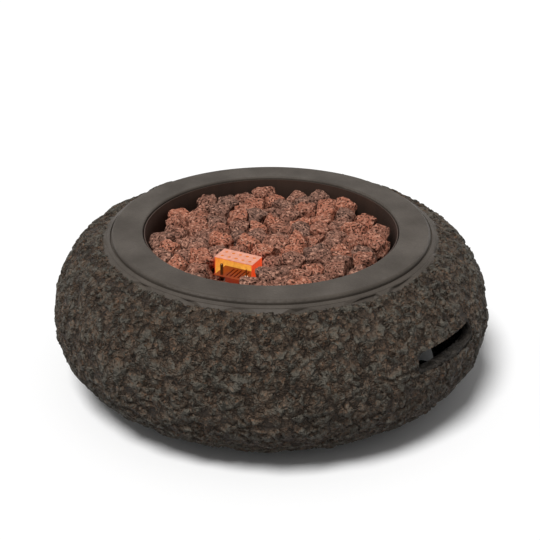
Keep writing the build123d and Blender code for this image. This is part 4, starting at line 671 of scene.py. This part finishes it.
class FIREPIT_OT_lava(bpy.types.Operator):
    """Rounds, pits and tints the lava rocks"""

    bl_idname = "firepit.lava"
    bl_label = "Lava rock"

    def execute(self, context):
        sizes = context.scene.fire_pit_sizes
        shades = context.scene.fire_pit_colours
        cad_copy("lava_rocks", "lava_heap")
        bpy.ops.object.mode_set(mode="EDIT")
        bpy.ops.mesh.select_all(action="SELECT")
        bpy.ops.mesh.separate(type="LOOSE")
        bpy.ops.object.mode_set(mode="OBJECT")
        layers = {name: [] for name in LAVA_LEVELS}
        for lump in list(context.selected_objects):
            corners = [vertex.co for vertex in lump.data.vertices]
            if max(corner.z for corner in corners) < sizes.top_layer:
                layers["lava_rock_low"].append(lump)
            elif sum(corner.x for corner in corners) < 0:
                layers["lava_rock_top_left"].append(lump)
            else:
                layers["lava_rock_top_right"].append(lump)
        scoria = self.scoria(sizes, shades)
        for name, members in layers.items():
            self.heap(name, members, scoria, sizes)
        return {"FINISHED"}

    def heap(self, name, members, scoria, sizes):
        """Joins the rocks of one part of the heap and wears them into lumps, crags and bubbles."""
        levels = LAVA_LEVELS[name]
        deselect()
        for lump in members:
            lump.select_set(True)
        bpy.context.view_layer.objects.active = members[0]
        bpy.ops.object.join()
        heap = bpy.context.active_object
        heap.name = name
        heap.data.name = name
        apply_modifier(heap, "SUBSURF", subdivision_type="SIMPLE", levels=levels, render_levels=levels)
        apply_modifier(heap, "SMOOTH", factor=0.5, iterations=2 * levels)

        def relief(add, geometry, place):
            rock = add("GeometryNodeInputMeshIsland")
            tint = add("FunctionNodeRandomValue", {"ID": rock, "Seed": 7}, data_type="FLOAT")
            geometry = add(
                "GeometryNodeStoreNamedAttribute",
                {"Geometry": geometry, "Name": "tint", "Value": tint},
                data_type="FLOAT",
                domain="POINT",
            )
            height, *_ = rock_field(add, place, sizes)
            return geometry, height

        shape_by_nodes(heap, name + "_wear", relief)
        activate(heap)
        bpy.ops.object.shade_smooth()
        paint(heap, scoria)
        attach(heap, "frame")
        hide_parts("lava_rocks")

    def scoria(self, sizes, shades):
        # Scoria, a lava full of gas bubbles: dull red-brown to grey-brown lumps, no gloss, with open bubbles
        # of a few millimetres, painted shade in the bubbles and the low crags, and a painted highlight on the
        # high ridges between them.
        made, add, shader, _ = material("scoria_lava_rock")
        place = add("Attribute", attribute_name="rest_place").outputs["Vector"]
        tint = add("Attribute", attribute_name="tint").outputs["Fac"]
        _, crag, pore = rock_field(add, place, sizes)
        cloud = add("TexNoise", {"Vector": place, "Scale": 1 / LAVA_CLOUD, "Detail": 3.0})
        mix = add("Math", {0: cloud, 1: 0.8, 2: -0.4}, "MULTIPLY_ADD")
        mix = add("Math", {0: mix, 1: tint}, "ADD", use_clamp=True)
        base = add("Mix", {0: mix, 6: shades.lava_red, 7: shades.lava_grey}, data_type="RGBA")
        level = add("MapRange", {"Value": tint, "To Min": 1.15, "To Max": 0.80})
        base = add("VectorMath", {0: base, "Scale": level}, "SCALE")
        # Painted highlight on the high crags.
        ridge_highlight = add("MapRange", {"Value": crag, "From Min": 0.52, "From Max": 0.72, "To Max": 0.85})
        base = add("Mix", {0: ridge_highlight, 6: base, 7: shades.lava_ridge_highlight}, data_type="RGBA")
        # Painted shade in the open bubbles and the low crags.
        sink_shade = add(
            "MapRange", {"Value": crag, "From Min": 0.30, "From Max": 0.44, "To Min": 0.6, "To Max": 0.0}
        )
        dark = add("Math", {0: pore, 1: 0.85}, "MULTIPLY")
        dark = add("Math", {0: dark, 1: sink_shade}, "MAXIMUM")
        base = add("Mix", {0: dark, 6: base, 7: shades.lava_pore_shade}, data_type="RGBA")
        grain = add("TexNoise", {"Vector": place, "Scale": 1 / LAVA_GRAIN, "Detail": 3.0})
        deep = add("Math", {0: pore, 1: -BUBBLE_DEPTH}, "MULTIPLY")
        deep = add("Math", {0: grain, 1: LAVA_GRAIN_HEIGHT, 2: deep}, "MULTIPLY_ADD")
        bump = add("Bump", {"Height": deep, "Distance": 1.0, "Strength": 0.9})
        wire(shader, {"Base Color": base, "Normal": bump, "Roughness": 0.92, "Specular IOR Level": 0.1})
        return made


def worked_metal(name, shade, tarnish, roughness, stretch=(1.0, 1.0, 1.0)):
    """A bare metal with a faint grain along its working direction and a little tarnish."""
    made, add, shader, place = material(name)
    cloud = add("TexNoise", {"Vector": place, "Scale": 1 / TARNISH, "Detail": 4.0})
    cloud = add("MapRange", {"Value": cloud, "From Min": 0.45, "From Max": 0.75})
    base = add("Mix", {0: cloud, 6: shade, 7: tarnish}, data_type="RGBA")
    along = add("VectorMath", {0: place, 1: stretch}, "MULTIPLY")
    grain = add("TexNoise", {"Vector": along, "Scale": 1 / METAL_GRAIN, "Detail": 2.0})
    rough = add(
        "MapRange", {"Value": grain, **NOISE_SPREAD, "To Min": roughness - 0.07, "To Max": roughness + 0.1}
    )
    grain = add("Math", {0: grain, 1: METAL_GRAIN_HEIGHT}, "MULTIPLY")
    bump = add("Bump", {"Height": grain, "Distance": 1.0, "Strength": 0.5})
    wire(shader, {"Base Color": base, "Roughness": rough, "Normal": bump, "Metallic": 1.0})
    return made


def moulded(name, shade, roughness, grit, depth):
    """An even coloured plastic, rubber, paint or ceramic with the fine texture of its mould or coat."""
    made, add, shader, place = material(name)
    skin = add("TexNoise", {"Vector": place, "Scale": 1 / grit, "Detail": 2.0})
    tone = add("MapRange", {"Value": skin, **NOISE_SPREAD, "To Min": 0.85, "To Max": 1.15})
    base = add("VectorMath", {0: shade, "Scale": tone}, "SCALE")
    rough = add(
        "MapRange", {"Value": skin, **NOISE_SPREAD, "To Min": roughness - 0.05, "To Max": roughness + 0.08}
    )
    skin = add("Math", {0: skin, 1: depth}, "MULTIPLY")
    bump = add("Bump", {"Height": skin, "Distance": 1.0, "Strength": 0.6})
    wire(shader, {"Base Color": base, "Roughness": rough, "Normal": bump})
    return made, add, shader, place, base


class FIREPIT_OT_burner(bpy.types.Operator):
    """Finishes the pan, the ring burner and its gas pipe"""

    bl_idname = "firepit.burner"
    bl_label = "Burner"

    def execute(self, context):
        shades = context.scene.fire_pit_colours
        paint_nodes(self.browned_steel(shades), "burner_pan")
        # Stainless tube that has been hot: satin, with straw and brown heat tint in patches.
        tinted = worked_metal("heat_tinted_stainless_steel", shades.stainless, shades.straw, 0.34)
        paint_nodes(tinted, "burner_ring")
        # Yellow brass, turned: a soft shine with duller brown patches where hands have been.
        brass = worked_metal("turned_brass", shades.brass, shades.brass_dull, 0.30)
        paint_nodes(brass, "burner_locknut", "air_mixer", "gas_jet", "flare_nut")
        # Aluminium tube, drawn: pale grey, with fine lines along it.
        drawn = worked_metal("drawn_aluminium", shades.aluminium, shades.casting, 0.32, (1.0, 0.1, 1.0))
        paint_nodes(drawn, "supply_tube")
        return {"FINISHED"}

    def browned_steel(self, shades):
        # Mild steel that the fire has browned: dull, with sooty streaks that run down the wall and a darker
        # foot where the heat is greatest.
        made, add, shader, place = material("heat_browned_steel")
        drip = add("VectorMath", {0: place, 1: (1.0, 1.0, 0.15)}, "MULTIPLY")
        streak = add("TexNoise", {"Vector": drip, "Scale": 1 / SOOT, "Detail": 5.0})
        low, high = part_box("burner_pan")
        level = add("SeparateXYZ", {0: place}).outputs["Z"]
        heat = add(
            "MapRange",
            {"Value": level, "From Min": low[2], "From Max": high[2], "To Min": 0.55, "To Max": -0.05},
        )
        soot = add("Math", {0: streak, 1: 0.9, 2: heat}, "MULTIPLY_ADD", use_clamp=True)
        base = add("Mix", {0: soot, 6: shades.pan, 7: shades.pan_dark}, data_type="RGBA")
        scale = add("TexNoise", {"Vector": place, "Scale": 1 / PAN_SCALE, "Detail": 3.0})
        rough = add("MapRange", {"Value": scale, "To Min": 0.5, "To Max": 0.8})
        scale = add("Math", {0: scale, 1: PAN_SCALE_HEIGHT}, "MULTIPLY")
        bump = add("Bump", {"Height": scale, "Distance": 1.0, "Strength": 0.5})
        wire(shader, {"Base Color": base, "Roughness": rough, "Normal": bump, "Metallic": 0.35})
        return made


class FIREPIT_OT_pilot(bpy.types.Operator):
    """Finishes the red-hot guard, the igniter probes and their leads"""

    bl_idname = "firepit.pilot"
    bl_label = "Igniter guard"

    def execute(self, context):
        shades = context.scene.fire_pit_colours
        paint_nodes(self.hot_steel(shades), "pilot_hood")
        # Stainless sheet next to the red heat: grey, straw and brown, with a dull red glow of its own.
        scaled = worked_metal("heat_scaled_stainless_steel", shades.zinc_dull, shades.straw, 0.45)
        shader = scaled.node_tree.nodes["Principled BSDF"]
        wire(shader, {"Emission Color": shades.glow_wall, "Emission Strength": 0.22})
        paint_nodes(scaled, "pilot_bracket")
        # Stainless probes in the flame: straw to brown heat tint over satin metal.
        tinted = worked_metal("straw_tinted_stainless_steel", shades.straw, shades.pan, 0.38)
        paint_nodes(tinted, "electrode_rod", "thermocouple")
        # Unglazed alumina: chalky off-white with a faint speckle.
        ceramic = moulded("unglazed_alumina", shades.ceramic, 0.6, 1.2 * MM, 0.05 * MM)[0]
        paint_nodes(ceramic, "electrode_ceramic")
        # Silicone sleeve: deep red, soft sheen.
        sleeve = moulded("silicone_sleeve", shades.silicone, 0.5, 1.5 * MM, 0.04 * MM)[0]
        paint_nodes(sleeve, "electrode_lead")
        # Copper capillary: dull red metal with brown patches.
        paint_nodes(worked_metal("drawn_copper", shades.copper, shades.straw, 0.36), "thermocouple_lead")
        return {"FINISHED"}

    def hot_steel(self, shades):
        # Stainless sheet at red heat: it glows, salmon on the scaled top plate, orange-red on the walls and
        # yellow inside, where it is hottest, with a mottled dark scale.
        made, add, shader, place = material("red_hot_stainless_steel")
        low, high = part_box("pilot_hood")
        level = add("SeparateXYZ", {0: place}).outputs["Z"]
        middle = [(a + b) / 2 for a, b in zip(low, high)]
        across = add("VectorMath", {0: place, 1: middle}, "SUBTRACT")
        outward = add("NewGeometry").outputs["Normal"]
        outside = add("VectorMath", {0: across, 1: outward}, "DOT_PRODUCT").outputs["Value"]
        outside = add("Math", {0: outside, 1: 0.0}, "GREATER_THAN")
        climb = add(
            "MapRange", {"Value": level, "From Min": low[2], "From Max": high[2] - HOT_WALL, "To Max": 0.6}
        )
        climb = add("Math", {0: climb, 1: outside}, "MAXIMUM")
        wall = add("Mix", {0: climb, 6: shades.glow_inside, 7: shades.glow_wall}, data_type="RGBA")
        start, full = high[2] - PLATE_FROM, high[2] - PLATE_FULL
        plate = add("MapRange", {"Value": level, "From Min": start, "From Max": full})
        glow = add("Mix", {0: plate, 6: wall, 7: shades.glow_top}, data_type="RGBA")
        scale = add("TexNoise", {"Vector": place, "Scale": 1 / HOT_SCALE, "Detail": 4.0})
        tone = add("MapRange", {"Value": scale, **NOISE_SPREAD, "To Min": 0.75, "To Max": 1.1})
        glow = add("VectorMath", {0: glow, "Scale": tone}, "SCALE")
        rough = add("MapRange", {"Value": scale, "To Min": 0.45, "To Max": 0.7})
        wire(shader, {"Base Color": shades.pan, "Roughness": rough})
        wire(shader, {"Emission Color": glow, "Emission Strength": 0.9})
        return made


class FIREPIT_OT_controls(bpy.types.Operator):
    """Finishes the control panel, the gas valve, the knob and the push-button igniter"""

    bl_idname = "firepit.controls"
    bl_label = "Controls"

    def execute(self, context):
        shades = context.scene.fire_pit_colours
        # Powder coat: black, half matt, with the small orange-peel waves that such coats dry to.
        coat = moulded("black_powder_coat", shades.coat, 0.5, 1.6 * MM, 0.1 * MM)[0]
        paint_nodes(coat, "control_panel")
        # Moulded ABS: black, with a fine spark-eroded texture that takes the gloss off.
        plastic = moulded("moulded_black_abs", shades.plastic, 0.45, 0.9 * MM, 0.05 * MM)[0]
        paint_nodes(plastic, "igniter_housing", "igniter_nut", "igniter_button")
        paint_nodes(self.lined_plastic(shades), "control_knob")
        # Zinc die casting: grey and slightly grainy.
        casting = worked_metal("zinc_die_casting", shades.casting, shades.zinc, 0.46)
        paint_nodes(casting, "gas_valve")
        # Turned brass: yellow, with a soft shine and duller patches.
        brass = worked_metal("turned_valve_brass", shades.brass, shades.brass_dull, 0.28)
        paint_nodes(brass, "valve_plug", "magnet_unit", "inlet_fitting")
        # Spring wire and stem: bright stainless with lines along the drawing direction.
        bright = worked_metal("bright_stainless_steel", shades.stainless, shades.zinc, 0.25, (1.0, 0.1, 1.0))
        paint_nodes(bright, "valve_stem")
        self.springs(bright)
        # Battery can: steel under a plain grey lacquer.
        can = moulded("lacquered_cell_can", shades.cell, 0.35, 2.0 * MM, 0.02 * MM)[0]
        paint_nodes(can, "igniter_battery")
        return {"FINISHED"}

    def springs(self, bright):
        """Puts in the two return springs, fixed to the frame; the real ones shorten as the knob and the
        button are pushed.
        """
        for joint in frame["record"]["behaviour"]["joints"]:
            for spring in joint.get("deforming_nodes", []):
                coil = cad_copy(spring["node"], spring["node"] + "_coil")
                bpy.ops.object.shade_smooth_by_angle(angle=math.radians(40))
                paint(coil, bright)
                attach(coil, "frame")
                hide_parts(spring["node"])
                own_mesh(coil)

    def lined_plastic(self, shades):
        # The knob's own ABS, with white paint wiped into the pointer groove on its face.
        made, add, shader, place, base = moulded("knob_black_abs", shades.plastic, 0.42, 0.9 * MM, 0.05 * MM)
        low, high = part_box("control_knob")
        axis_x = (low[0] + high[0]) / 2
        axis_z = (low[2] + high[2]) / 2
        spot = add("SeparateXYZ", {0: place}).outputs
        across = add("Math", {0: spot["X"], 1: axis_x}, "SUBTRACT")
        across = add("Math", {0: across}, "ABSOLUTE")
        line = add("Math", {0: across, 1: POINTER_HALF_WIDTH}, "LESS_THAN")
        above = add("Math", {0: spot["Z"], 1: axis_z + POINTER_START}, "GREATER_THAN")
        front = add("Math", {0: spot["Y"], 1: high[1] - POINTER_DEPTH}, "GREATER_THAN")
        line = add("Math", {0: line, 1: above}, "MULTIPLY")
        line = add("Math", {0: line, 1: front}, "MULTIPLY")
        base = add("Mix", {0: line, 6: base, 7: shades.pointer}, data_type="RGBA")
        wire(shader, {"Base Color": base})
        return made


class FIREPIT_OT_fittings(bpy.types.Operator):
    """Finishes the feet, the screws, the inserts and the brackets"""

    bl_idname = "firepit.fittings"
    bl_label = "Feet and fasteners"

    def execute(self, context):
        shades = context.scene.fire_pit_colours
        # Moulded rubber: near black, dull, with a dusty fine grain.
        rubber = moulded("moulded_black_rubber", shades.rubber, 0.8, 1.4 * MM, 0.08 * MM)[0]
        paint_nodes(rubber, "rubber_feet")
        # Zinc plate that dust and the pan's heat have dulled: dark grey, hardly any shine.
        dulled = worked_metal("heat_dulled_zinc_plate", shades.zinc_dull, shades.pan_dark, 0.62)
        paint_nodes(dulled, "pan_brackets")
        # Zinc-plated steel: pale grey metal, a little cloudy.
        zinc = worked_metal("zinc_plated_steel", shades.zinc, shades.casting, 0.36)
        paint_nodes(zinc, "foot_screws", "pan_screws", "panel_screws", "valve_screws", "pilot_screw")
        paint_nodes(zinc, "burner_nipple", "lead_clips")
        # Knurled brass inserts: yellow metal, duller than the turned fittings.
        paint_nodes(worked_metal("insert_brass", shades.brass, shades.brass_dull, 0.4), "threaded_inserts")
        return {"FINISHED"}


class FIREPIT_PT_panel(bpy.types.Panel):
    """Lists the pieces of the fire pit and their sizes and colours"""

    bl_idname = "FIREPIT_PT_panel"
    bl_label = "Fire pit"
    bl_space_type = "VIEW_3D"
    bl_region_type = "UI"
    bl_category = "Fire pit"

    def draw(self, context):
        scene = context.scene
        for operator in OPERATORS:
            self.layout.operator(operator.bl_idname)
        for group in (scene.fire_pit_sizes, scene.fire_pit_colours, scene.fire_pit_view):
            box = self.layout.box()
            for key in group.bl_rna.properties.keys():
                if key not in ("rna_type", "name"):
                    box.prop(group, key)


OPERATORS = (
    FIREPIT_OT_stage,
    FIREPIT_OT_stone,
    FIREPIT_OT_lava,
    FIREPIT_OT_burner,
    FIREPIT_OT_pilot,
    FIREPIT_OT_controls,
    FIREPIT_OT_fittings,
)
CLASSES = (FirePitSizes, FirePitColours, FirePitView, *OPERATORS, FIREPIT_PT_panel)


def register():
    for cls in CLASSES:
        bpy.utils.register_class(cls)
    bpy.types.Scene.fire_pit_sizes = PointerProperty(type=FirePitSizes)
    bpy.types.Scene.fire_pit_colours = PointerProperty(type=FirePitColours)
    bpy.types.Scene.fire_pit_view = PointerProperty(type=FirePitView)


def unregister():
    del bpy.types.Scene.fire_pit_view
    del bpy.types.Scene.fire_pit_colours
    del bpy.types.Scene.fire_pit_sizes
    for cls in reversed(CLASSES):
        bpy.utils.unregister_class(cls)


def main():
    register()
    bpy.ops.firepit.stage()
    bpy.ops.firepit.stone()
    bpy.ops.firepit.lava()
    bpy.ops.firepit.burner()
    bpy.ops.firepit.pilot()
    bpy.ops.firepit.controls()
    bpy.ops.firepit.fittings()


if __name__ == "__main__":
    main()
